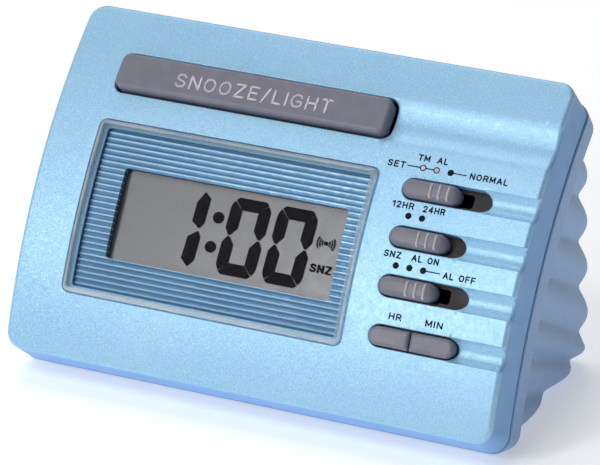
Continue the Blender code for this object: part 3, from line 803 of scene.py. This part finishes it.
def make_back(mats):
    stations = rib_stations()
    tray = rear_frame()
    length, height = 2 * TRAY_HALF_LENGTH, 2 * TRAY_HALF_HEIGHT
    room = ((length, height, TRAY_DEPTH + 6), (0.0, 0.0, -TRAY_DEPTH / 2 + 3))
    opening = block(*room)
    bmesh.ops.transform(opening, matrix=tray, verts=opening.verts)
    hollow = body_loft(spaced(4.0, body_top() - 3.5, 40), BODY_WALL, -4.0, False)
    bores = [rod(BORE_RADIUS, 4.0, 60.0, 32, axis) for axis in screw_axes()]
    shell = combine(body_loft(stations, 0.0, -3.0, True), [hollow, opening, *bores], "DIFFERENCE")
    liner = block((length + 2 * LINER_WALL, height + 2 * LINER_WALL, TRAY_DEPTH),
                  (0.0, 0.0, -TRAY_DEPTH / 2 - LINER_WALL - 0.1))
    liner = combine(liner, [block(*room)], "DIFFERENCE")
    bmesh.ops.transform(liner, matrix=tray, verts=liner.verts)
    tubes = []
    for axis in screw_axes():
        inside = body_loft(stations, 0.7, -3.0, True)
        tube = combine(rod(TOWER_RADIUS, GAP, 60.0, 32, axis),
                       [rod(BORE_RADIUS, 4.0, 61.0, 32, axis), rod(1.5, 0.0, 5.0, 20, axis)],
                       "DIFFERENCE")
        tubes.append(combine(tube, [inside], "INTERSECT"))
    pads = [rod(FOOT_RADIUS + 1.0, BASE_Z, BASE_Z + 3.0, 40, Matrix.Translation((x, y, 0.0)))
            for x, y in FOOT_PLACES]
    case = add_piece("back_shell", merge(shell, flange(), liner, *tubes, *pads), [mats["back"]],
                     sharp=36.0)
    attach(case, "housing")
    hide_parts("back_case")

    wide, tall = TRAY_HALF_LENGTH - GAP, TRAY_HALF_HEIGHT - GAP
    ring = outline(-wide, wide, -tall, tall, 0.5, 4)
    plug = loft([(ring, -DOOR_THICKNESS), (ring, 4.0)])
    bmesh.ops.transform(plug, matrix=tray, verts=plug.verts)
    door = combine(plug, [body_loft(stations, 0.0, -3.0, True)], "INTERSECT")
    cover = add_piece("battery_cover", door, [mats["back"]], sharp=36.0)
    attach(cover, "battery_cover")
    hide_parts("battery_door")


# ---------------------------------------------------------------- display

def make_lens(mats):
    left, right, low, high = LENS
    bm = bmesh.new()
    base = outline(left, right, low, high, 1.3)
    rings = [(base, LENS_SEAT_H + GAP), (base, LENS_SIDE_H)]
    for step in range(1, 5):
        part = step / 4
        rings.append((outline(left + part, right - part, low + part, high - part, 1.3 - 0.7 * part),
                      LENS_SIDE_H + (LENS_TOP - LENS_SIDE_H) * math.sin(math.pi / 2 * part)))
    made = strip(bm, rings)
    # Sides and bevel take the painted glint material.
    for face in bm.faces:
        face.material_index = 1
    bm.faces.new(list(reversed(made[0])))
    bm.faces.new(made[-1])
    slice_rows(bm, spaced(low - 0.5, high + 0.5, 50))
    lens = add_piece("display_lens", wrap(bm), [mats["lens"], mats["edge"]], sharp=50.0)
    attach(lens, "housing")
    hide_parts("lens")


def mask_profile():
    """Stations up the plate with the height of its ridges, which also sets their painted light: a slow rise
    out of painted shade, a bright painted highlight line, a drop.
    """
    low, high = LENS[2] - 1.5, LENS[3] + 1.5
    marks = []
    index = -2
    while True:
        top = MASK_LINE_FIRST + MASK_LINE_PITCH * index
        index += 1
        if top > high:
            break
        for shift, lift_and_painted_light in ((-0.85, 0.0), (-0.25, 0.5), (-0.15, 1.0), (0.12, 1.0), (0.2, 0.15)):
            if low < top + shift < high:
                marks.append((top + shift, lift_and_painted_light))
    return [(low, 0.0)] + marks + [(high, 0.0)]


def make_mask(mat):
    left, right, low, high = LENS
    bm = loft([(outline(left - 1.5, right + 1.5, low - 1.5, high + 1.5, 1.0), -3.5),
               (outline(left - 1.5, right + 1.5, low - 1.5, high + 1.5, 1.0), -SKIN - GAP)])
    window = [(outline(LCD_WINDOW[0] - grow, LCD_WINDOW[1] + grow, LCD_WINDOW[2] - grow,
                       LCD_WINDOW[3] + grow, 0.8 + grow), h)
              for h, grow in ((-6.0, 0.0), (0.0, 0.0))]
    bm = combine(bm, [loft(window)], "DIFFERENCE")
    profile = mask_profile()
    slice_rows(bm, [station for station, _lift_and_painted_light in profile[1:-1]])
    # Each vertex keeps its ridge height, which the mask material turns into painted highlight and shade.
    layer = bm.verts.layers.float.new("lift_and_painted_light")
    for vert in bm.verts:
        station, h = vert.co.y, vert.co.z
        lift_and_painted_light = 0.0
        for (a, lift_and_painted_light_a), (b, lift_and_painted_light_b) in zip(profile, profile[1:]):
            if a - 1e-4 <= station <= b + 1e-4:
                share = (station - a) / max(b - a, 1e-6)
                lift_and_painted_light = lift_and_painted_light_a + (lift_and_painted_light_b - lift_and_painted_light_a) * min(max(share, 0.0), 1.0)
                break
        vert[layer] = lift_and_painted_light
        if h > -SKIN - GAP - 0.01:
            vert.co.z += 0.09 * lift_and_painted_light
    mask = add_piece("display_mask", wrap(bm), [mat], sharp=30.0, weighted=False)
    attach(mask, "housing")
    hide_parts("mask_plate")


def prism(points, low, high):
    bm = bmesh.new()
    below = [bm.verts.new((x, y, low)) for x, y in points]
    above = [bm.verts.new((x, y, high)) for x, y in points]
    for i in range(len(points)):
        j = (i + 1) % len(points)
        bm.faces.new((below[i], below[j], above[j], above[i]))
    bm.faces.new(list(reversed(below)))
    bm.faces.new(above)
    bmesh.ops.recalc_face_normals(bm, faces=bm.faces)
    return bm


DIGIT_HALF_WIDTH = 4.45
DIGIT_HALF_HEIGHT = 8.1
DIGIT_STROKE = 2.55
DIGIT_LEAN = 0.045
DIGIT_ZEROS = (-7.4, 3.15)
DIGIT_COLON = ((-13.92, 3.2), (-14.22, -3.0))
DIGIT_DOT = 1.2


def zero_segments():
    """Six segments of a zero, with narrow gaps where they meet and pointed ends at the middle."""
    w, h, t, g = DIGIT_HALF_WIDTH, DIGIT_HALF_HEIGHT, DIGIT_STROKE, 0.09
    corner = 1.3
    top = [(-w + corner * 0.55 + g, h - corner * 0.45), (-w + corner + 0.2, h), (w - corner - 0.2, h),
           (w - corner * 0.55 - g, h - corner * 0.45), (w - t - g, h - t), (-w + t + g, h - t)]
    side = [(w - corner * 0.5, h - corner * 0.55 - g), (w - 0.12, h - corner * 0.95 - 0.5), (w, h - 2.6),
            (w, 1.5), (w - 0.9, 0.12), (w - 1.25, 0.12), (w - t, 1.75), (w - t, h - t - g)]
    shapes = [top, side]
    shapes += [[(-x, y) for x, y in reversed(side)]]
    shapes += [[(x, -y) for x, y in reversed(shape)] for shape in list(shapes)]
    return shapes


def one_segments():
    upper = [(-17.95, 7.9), (-16.55, 6.7), (-16.85, 1.45), (-17.7, 0.28), (-19.5, 1.5), (-19.35, 5.4)]
    lower = [(-17.75, -0.28), (-17.0, -1.5), (-17.25, -6.4), (-18.45, -7.85), (-20.1, -6.4),
             (-19.75, -1.7)]
    return [upper, lower]


def arc_band(centre, radius, width, start, end, steps=8):
    """Ring sector as a polygon."""
    angles = [math.radians(start + (end - start) * i / steps) for i in range(steps + 1)]
    outer = [(centre[0] + (radius + width / 2) * math.cos(a), centre[1] + (radius + width / 2) * math.sin(a))
             for a in angles]
    inner = [(centre[0] + (radius - width / 2) * math.cos(a), centre[1] + (radius - width / 2) * math.sin(a))
             for a in reversed(angles)]
    return outer + inner


def disc(centre, radius, steps=24):
    return [(centre[0] + radius * math.cos(2 * math.pi * i / steps),
             centre[1] + radius * math.sin(2 * math.pi * i / steps)) for i in range(steps)]


# Letters as strokes on a grid whose height is 1: width, then the lines that make the letter.
LETTERS = {
    "A": (0.84, ((0.0, 0.0), (0.42, 1.0), (0.84, 0.0)), ((0.16, 0.34), (0.68, 0.34))),
    "D": (0.76, ((0.0, 0.0), (0.0, 1.0), (0.4, 1.0), (0.66, 0.86), (0.76, 0.5), (0.66, 0.14),
                 (0.4, 0.0), (0.0, 0.0))),
    "E": (0.66, ((0.66, 0.0), (0.0, 0.0), (0.0, 1.0), (0.66, 1.0)), ((0.0, 0.52), (0.58, 0.52))),
    "F": (0.64, ((0.0, 0.0), (0.0, 1.0), (0.64, 1.0)), ((0.0, 0.5), (0.56, 0.5))),
    "G": (0.8, ((0.77, 0.8), (0.62, 0.96), (0.4, 1.0), (0.16, 0.9), (0.02, 0.68), (0.0, 0.4),
                (0.12, 0.12), (0.38, 0.0), (0.64, 0.05), (0.8, 0.2), (0.8, 0.46), (0.44, 0.46))),
    "H": (0.76, ((0.0, 0.0), (0.0, 1.0)), ((0.76, 0.0), (0.76, 1.0)), ((0.0, 0.52), (0.76, 0.52))),
    "I": (0.0, ((0.0, 0.0), (0.0, 1.0))),
    "L": (0.6, ((0.0, 1.0), (0.0, 0.0), (0.6, 0.0))),
    "M": (0.9, ((0.0, 0.0), (0.0, 1.0), (0.45, 0.2), (0.9, 1.0), (0.9, 0.0))),
    "N": (0.76, ((0.0, 0.0), (0.0, 1.0), (0.76, 0.0), (0.76, 1.0))),
    "O": (0.84, ((0.42, 1.0), (0.16, 0.91), (0.02, 0.68), (0.0, 0.5), (0.02, 0.32), (0.16, 0.09),
                 (0.42, 0.0), (0.68, 0.09), (0.82, 0.32), (0.84, 0.5), (0.82, 0.68), (0.68, 0.91),
                 (0.42, 1.0))),
    "R": (0.76, ((0.0, 0.0), (0.0, 1.0), (0.5, 1.0), (0.7, 0.9), (0.74, 0.74), (0.68, 0.56),
                 (0.5, 0.48), (0.0, 0.48)), ((0.48, 0.48), (0.76, 0.0))),
    "S": (0.72, ((0.69, 0.82), (0.56, 0.97), (0.34, 1.0), (0.12, 0.93), (0.04, 0.76), (0.14, 0.59),
                 (0.36, 0.52), (0.6, 0.44), (0.72, 0.27), (0.62, 0.07), (0.36, 0.0), (0.12, 0.04),
                 (0.0, 0.19))),
    "T": (0.76, ((0.0, 1.0), (0.76, 1.0)), ((0.38, 1.0), (0.38, 0.0))),
    "Z": (0.74, ((0.02, 1.0), (0.72, 1.0), (0.0, 0.0), (0.74, 0.0))),
    "1": (0.34, ((0.0, 0.78), (0.34, 1.0), (0.34, 0.0))),
    "2": (0.7, ((0.02, 0.74), (0.1, 0.93), (0.34, 1.0), (0.6, 0.93), (0.68, 0.74), (0.58, 0.5),
                (0.0, 0.0), (0.7, 0.0))),
    "4": (0.76, ((0.56, 0.0), (0.56, 1.0), (0.0, 0.28), (0.76, 0.28))),
    "/": (0.46, ((0.0, -0.08), (0.46, 1.08))),
    " ": (0.3,),
}


def stroke(a, b, width):
    """Bar with flat ends between two points, as a polygon."""
    run = Vector((b[0] - a[0], b[1] - a[1])).normalized() * width / 2
    side = Vector((-run.y, run.x))
    a, b = Vector(a), Vector(b)
    return [tuple(a - side), tuple(b - side), tuple(b + side), tuple(a + side)]


def lettering(words, left, right, base, height, width, low, high, gap=0.26):
    """A line of stroke letters that fills the space from left to right, as a list of solids."""
    rise = height - width
    natural = sum(LETTERS[c][0] for c in words) + gap * (len(words) - 1)
    natural += width / rise * len(words)
    scale = (right - left) / natural
    shapes, at = [], left
    for letter in words:
        at += scale * width / rise / 2
        for line in LETTERS[letter][1:]:
            points = [(at + scale * x, base + width / 2 + rise * y) for x, y in line]
            shapes += [prism(stroke(a, b, width), low, high) for a, b in zip(points, points[1:])]
            shapes += [prism(disc(point, width / 2, 12), low, high) for point in points]
        at += scale * (LETTERS[letter][0] + gap + width / rise / 2)
    return shapes


def make_lcd(mats):
    board = face_frame(0.0, BOARD_STATION)
    middle = (LCD_WINDOW[0] + LCD_WINDOW[1]) / 2
    half = (LCD_WINDOW[1] - LCD_WINDOW[0] + 5) / 2
    plate = [(outline(middle - half + inset, middle + half - inset, -13.2 + inset, 11.8 - inset, 0.4, 3), z)
             for inset, z in ((0.0, LCD_TOP - 1.5), (0.0, LCD_TOP - 0.15), (0.15, LCD_TOP))]
    glass = add_piece("display_glass", loft(plate), [mats["lcd"]], board)
    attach(glass, "housing")
    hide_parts("lcd_glass")

    low, high = LCD_TOP + 0.28, LCD_TOP + 0.32
    shapes = []
    for centre in DIGIT_ZEROS:
        for points in zero_segments():
            leaning = [(centre + x + DIGIT_LEAN * y, y) for x, y in points]
            shapes.append(prism(leaning, low, high))
    shapes += [prism(points, low, high) for points in one_segments()]
    shapes += [prism(disc(centre, DIGIT_DOT), low, high) for centre in DIGIT_COLON]
    icon = (10.8, 2.1)
    shapes.append(prism(disc(icon, 0.42, 16), low, high))
    for radius in (0.85, 1.4, 1.95):
        for start in (-38, 142):
            shapes.append(prism(arc_band(icon, radius, 0.2, start, start + 76), low, high))
    shapes += lettering("SNZ", 8.5, 13.3, -4.1, 1.75, 0.34, low, high)
    left, right, bottom, top = LCD_WINDOW
    middle = (bottom + top) / 2
    reach = (top - bottom) / 2 + 0.9
    rim = middle - BOARD_STATION
    # Black ring round the window in the gap between mask and LCD, a dark part put where the gap is in shade:
    # painted shade.
    gap_shade_rings = [(outline(left - grow, right + grow, rim - reach - grow, rim + reach + grow, 0.9, 4), z)
                   for grow, z in ((0.3, LCD_TOP + 0.35), (0.3, -3.9), (0.6, -3.9), (0.6, LCD_TOP + 0.35))]
    bm = bmesh.new()
    strip(bm, gap_shade_rings + gap_shade_rings[:1])
    bmesh.ops.remove_doubles(bm, verts=bm.verts, dist=0.0001)
    bmesh.ops.recalc_face_normals(bm, faces=bm.faces)
    gap_shade = add_piece("display_gap_shade", bm, [mats["gap_shade"]], board, weighted=False)
    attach(gap_shade, "housing")
    digits = add_piece("display_digits", merge(*shapes), [mats["digit"]], board, weighted=False)
    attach(digits, "housing")


# ---------------------------------------------------------------- controls

def domed(points_at, low, edge, top, rounding, steps=5):
    """Cap with a quarter-round shoulder: points_at gives its outline for an inset."""
    rings = [(points_at(0.0), low), (points_at(0.0), edge)]
    for step in range(1, steps + 1):
        angle = math.pi / 2 * step / steps
        rings.append((points_at(rounding * (1 - math.cos(angle))), edge + (top - edge) * math.sin(angle)))
    return rings


def make_ridge(x, deep):
    """Bar across a knob's top, painted lighter than the knob as a highlight, rounded in section and falling
    away at its two ends.
    """
    bar = bmesh.new()
    arcs = []
    for step in range(-6, 7):
        y = RIDGE_HALF_LENGTH * step / 6
        last = abs(step) == 6
        fall = 0.28 * (y / deep) ** 2
        if last:
            fall += 0.55
        elif abs(step) == 5:
            fall += 0.12
        width, rise = (0.2, 0.25) if last else (0.27, 0.5)
        turns = (-0.6, 0.0, 0.5, 1.1, math.pi / 2, math.pi - 1.1, math.pi - 0.5, math.pi, math.pi + 0.6)
        arcs.append([bar.verts.new((x + width * math.cos(a), y, 1.42 - fall + rise * math.sin(a)))
                     for a in turns])
    for a, b in zip(arcs, arcs[1:]):
        for i in range(len(a)):
            j = (i + 1) % len(a)
            bar.faces.new((a[i], a[j], b[j], b[i]))
    bar.faces.new(list(reversed(arcs[0])))
    bar.faces.new(arcs[-1])
    bmesh.ops.recalc_face_normals(bar, faces=bar.faces)
    # The bar takes the lighter grey: painted highlight.
    for face in bar.faces:
        face.material_index = 1
    return bar


def make_grip(name, mats):
    """Slide knob: round left end, three ridges painted light as highlights, and a right end that slopes into
    the slot.
    """
    left, _right, station = SWITCHES[name]
    place = face_frame(left + GAP + KNOB_LENGTH / 2, station)
    half, deep = KNOB_LENGTH / 2, KNOB_WIDTH / 2

    def ring(inset):
        return outline(-half + inset, half - inset, -deep + inset, deep - inset, deep - inset - 0.02, 10)

    bm = loft(domed(ring, -1.8, 0.35, 1.5, 0.95, 8))
    cuts = [((x, 0, 0), (1, 0, 0)) for x in (-2.0, 0.0, 1.5, 3.0, 3.7, 4.3, 4.9, 5.4, 5.9)]
    cuts += [((0, y, 0), (0, 1, 0)) for y in (-0.7, 0.0, 0.7)]
    for point, normal in cuts:
        bmesh.ops.bisect_plane(bm, geom=bm.verts[:] + bm.edges[:] + bm.faces[:], plane_co=point,
                               plane_no=normal, dist=0.0005)
    for vert in bm.verts:
        if vert.co.z > 0.3:
            vert.co.z -= 0.22 * (vert.co.y / deep) ** 2
            beyond = max(0.0, vert.co.x - KNOB_SLOPE_START) / (half - KNOB_SLOPE_START)
            vert.co.z -= KNOB_SLOPE_DROP * beyond * beyond
    stem = block(KNOB_STEM, (0.0, 0.0, -3.8))
    ridges = [make_ridge(RIDGE_FIRST + RIDGE_PITCH * index, deep) for index in range(3)]
    bmesh.ops.recalc_face_normals(bm, faces=bm.faces)
    grip = add_piece(name + "_grip", merge(bm, stem, *ridges), [mats["grip"], mats["ridge"]], place,
                     sharp=45.0)
    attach(grip, name + "_slider")
    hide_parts(name + "_knob")


def make_key_cap(name, left, right, mats):
    station = KEY_SLOT[2]
    place = face_frame((left + right) / 2, station)
    deep = KNOB_WIDTH / 2
    half = (right - left) / 2
    outer = -1.0 if name == "hour" else 1.0

    def ring(inset):
        full = outline(-half + inset, half - inset, -deep + inset, deep - inset, deep - inset - 0.02, 10)
        square = outline(-half + inset, half - inset, -deep + inset, deep - inset, 0.3, 10)
        return [a if a[0] * outer > 0 else b for a, b in zip(full, square)]

    bm = loft(domed(ring, KEY_BOTTOM, 0.5, 1.15, 0.75, 6))
    for vert in bm.verts:
        if vert.co.z > 0.45:
            vert.co.z -= 0.2 * (vert.co.y / deep) ** 2
    bmesh.ops.recalc_face_normals(bm, faces=bm.faces)
    cap = add_piece(name + "_cap", merge(bm, block(KEY_STEM, (0.0, 0.0, -2.7))), [mats["grip"]],
                    place, sharp=45.0)
    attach(cap, name + "_key")
    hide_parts(name + "_button")


def make_snooze_bar(mats):
    left, right, low, high = SNOOZE_SLOT
    place = face_frame((left + right) / 2, (low + high) / 2)
    half, deep = (right - left) / 2 - CAP_GAP, (high - low) / 2 - CAP_GAP

    def ring(inset):
        return outline(-half + inset, half - inset, -deep + inset, deep - inset, max(1.6 - 0.7 * inset, 0.3))

    bm = loft(domed(ring, -1.6, 0.9, 1.7, 0.9, 8))
    bar = add_piece("snooze_bar", bm, [mats["grip"]], place, sharp=50.0)
    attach(bar, "snooze")
    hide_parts("snooze_button")
    words = lettering("SNOOZE/LIGHT", -17.2, 18.4, -1.95, 3.15, 0.42, 1.66, 1.8, 0.3)
    letters = add_piece("snooze_letters", merge(*words), [mats["letter"]], place, weighted=False)
    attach(letters, "snooze")


# ---------------------------------------------------------------- labels

LABEL_HEIGHT = 1.42
LABEL_STROKE = 0.29
LABEL_H = 0.012
LABELS = (
    ("SET", 21.2, 25.1, 51.85),
    ("TM", 27.3, 29.9, 53.95),
    ("AL", 31.5, 33.9, 54.0),
    ("NORMAL", 39.2, 47.5, 51.95),
    ("12HR", 24.6, 29.4, 43.65),
    ("24HR", 31.4, 36.2, 43.6),
    ("SNZ", 25.5, 29.3, 33.45),
    ("AL ON", 31.6, 37.5, 33.45),
    ("AL OFF", 39.0, 46.0, 31.15),
    ("HR", 29.4, 32.2, 21.2),
    ("MIN", 37.4, 41.2, 21.15),
)
LABEL_DOTS = (
    (35.0, 52.6), (28.7, 42.3), (31.7, 42.3), (28.6, 32.0), (31.6, 32.0), (34.6, 32.0),
)
LABEL_RINGS = ((28.95, 52.6), (31.9, 52.6))
LABEL_LINES = ((25.5, 28.3, 52.6), (29.6, 31.25, 52.6), (35.0, 38.5, 52.6), (34.6, 38.3, 32.0))


def make_labels(mats):
    low, high = LABEL_H - 0.01, LABEL_H + 0.01
    shapes = []
    for words, left, right, base in LABELS:
        shapes += lettering(words, left, right, base, LABEL_HEIGHT, LABEL_STROKE, low, high)
    shapes += [prism(disc(centre, 0.68), low, high) for centre in LABEL_DOTS]
    for centre in LABEL_RINGS:
        shapes += [prism(arc_band(centre, 0.58, 0.22, start, start + 180, 14), low, high)
                   for start in (0, 180)]
    shapes += [prism([(a, s - 0.12), (b, s - 0.12), (b, s + 0.12), (a, s + 0.12)], low, high)
               for a, b, s in LABEL_LINES]
    labels = add_piece("face_labels", wrap(merge(*shapes)), [mats["print"]], weighted=False)
    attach(labels, "housing")
    pale = [prism(disc(centre, 0.5), low - 0.004, low + 0.004) for centre in LABEL_RINGS]
    fills = add_piece("face_label_rings", wrap(merge(*pale)), [mats["letter"]], weighted=False)
    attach(fills, "housing")


# ---------------------------------------------------------------- feet and carried-over nodes

def make_feet(mats):
    names = ("front_left", "front_right", "rear_left", "rear_right")
    for (x, y), name in zip(FOOT_PLACES, names):
        rings = [(disc((x, y), radius, 48), z) for radius, z in
                 ((2.6, 0.12), (2.9, 0.0), (3.72, 0.0), (3.93, 0.08), (4.0, 0.28), (4.0, BASE_Z - GAP))]
        foot = add_piece("rubber_foot_" + name, loft(rings), [mats["rubber"]], sharp=50.0)
        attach(foot, "housing")
        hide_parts("foot_" + name)


CARRIED = {
    "backlight_panel": "guide", "zebra_strip": "rubber", "lamp": "guide", "main_board": "board",
    "clock_chip": "black", "buzzer": "black", "quartz_crystal": "steel", "switch_plate": "black",
    "battery": "battery", "battery_spring": "steel", "positive_contact": "steel",
    "negative_contact": "steel", "hour_contact": "rubber", "minute_contact": "rubber",
    "snooze_plunger_left": "rubber", "snooze_plunger_right": "rubber",
    "snooze_contact_left": "brass", "snooze_contact_right": "brass",
}


def dress_nodes(mats):
    for name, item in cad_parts.items():
        if name in CARRIED:
            mat = mats[CARRIED[name]]
        elif name.endswith("_wiper"):
            mat = mats["brass"]
        elif "screw" in name:
            mat = mats["steel"]
        else:
            continue
        item.data.materials.clear()
        item.data.materials.append(mat)


# ---------------------------------------------------------------- stage

def add_light(name, place, target, size, power, colour=(1.0, 1.0, 1.0)):
    lamp = bpy.data.lights.new(name, "AREA")
    lamp.shape = "RECTANGLE"
    lamp.size, lamp.size_y = size
    lamp.energy = power
    lamp.color = colour
    item = bpy.data.objects.new(name, lamp)
    item.location = place
    item.rotation_euler = (Vector(target) - Vector(place)).to_track_quat("-Z", "Y").to_euler()
    bpy.context.scene.collection.objects.link(item)
    return item


def keep_off(light, name):
    """A lamp that a polarising filter takes off one glossy piece."""
    group = bpy.data.collections.new(light.name + "_filter")
    group.objects.link(bpy.data.objects[name])
    light.light_linking.receiver_collection = group
    group.collection_objects[0].light_linking.link_state = "EXCLUDE"


def make_world():
    """White studio, brighter on the left than on the right."""
    world = bpy.data.worlds.new("studio")
    world.use_nodes = True
    tree = world.node_tree
    back = tree.nodes["Background"]
    back.inputs["Color"].default_value = (1.0, 1.0, 1.0, 1.0)
    split = tree.nodes.new("ShaderNodeSeparateXYZ")
    tree.links.new(tree.nodes.new("ShaderNodeTexCoord").outputs["Generated"], split.inputs["Vector"])
    level = tree.nodes.new("ShaderNodeMapRange")
    for key, value in (("From Min", -1.0), ("From Max", 1.0), ("To Min", 0.5), ("To Max", 0.03)):
        level.inputs[key].default_value = value
    tree.links.new(split.outputs["X"], level.inputs["Value"])
    tree.links.new(level.outputs["Result"], back.inputs["Strength"])
    bpy.context.scene.world = world


def make_stage(mats):
    bm = bmesh.new()
    bmesh.ops.create_grid(bm, x_segments=24, y_segments=24, size=3000.0)
    floor = add_piece("floor", bm, [mats["floor"]], weighted=False)
    make_world()
    sheen = add_light("sheen", (-0.26, -0.679, 0.376), (0.038, -0.02, 0.03), (0.12, 0.2), 1.6)
    front = add_light("front", (-0.15, -0.75, 0.95), (0.0, 0.0, 0.04), (0.5, 0.4), 2.9)
    add_light("top", (-0.25, 0.3, 0.9), (0.0, 0.0, 0.04), (0.7, 0.5), 2.5)
    keep_off(sheen, "display_lens")
    keep_off(front, "display_lens")
    bpy.context.scene.view_settings.view_transform = "Standard"


def make_camera():
    camera = bpy.data.objects.new("camera", bpy.data.cameras.new("camera"))
    place, target = Vector((0.3487, -0.7181, 0.3703)), Vector((0.00575, -0.01487, 0.03818))
    camera.location = place
    camera.rotation_euler = (target - place).to_track_quat("-Z", "Y").to_euler()
    camera.data.lens = 251.9
    camera.data.sensor_width = 36.0
    camera.data.clip_start = 0.05
    bpy.context.scene.collection.objects.link(camera)
    bpy.context.scene.camera = camera


MATS = make_materials()
make_front([MATS["face"], MATS["wall"]])
make_back(MATS)
make_lens(MATS)
make_mask(MATS["mask"])
make_lcd(MATS)
for switch in SWITCHES:
    make_grip(switch, MATS)
make_key_cap("hour", KEY_SLOT[0] + GAP, KEY_SPLIT - GAP / 2, MATS)
make_key_cap("minute", KEY_SPLIT + GAP / 2, KEY_SLOT[1] - GAP, MATS)
make_snooze_bar(MATS)
make_labels(MATS)
make_feet(MATS)
dress_nodes(MATS)
make_stage(MATS)
make_camera()
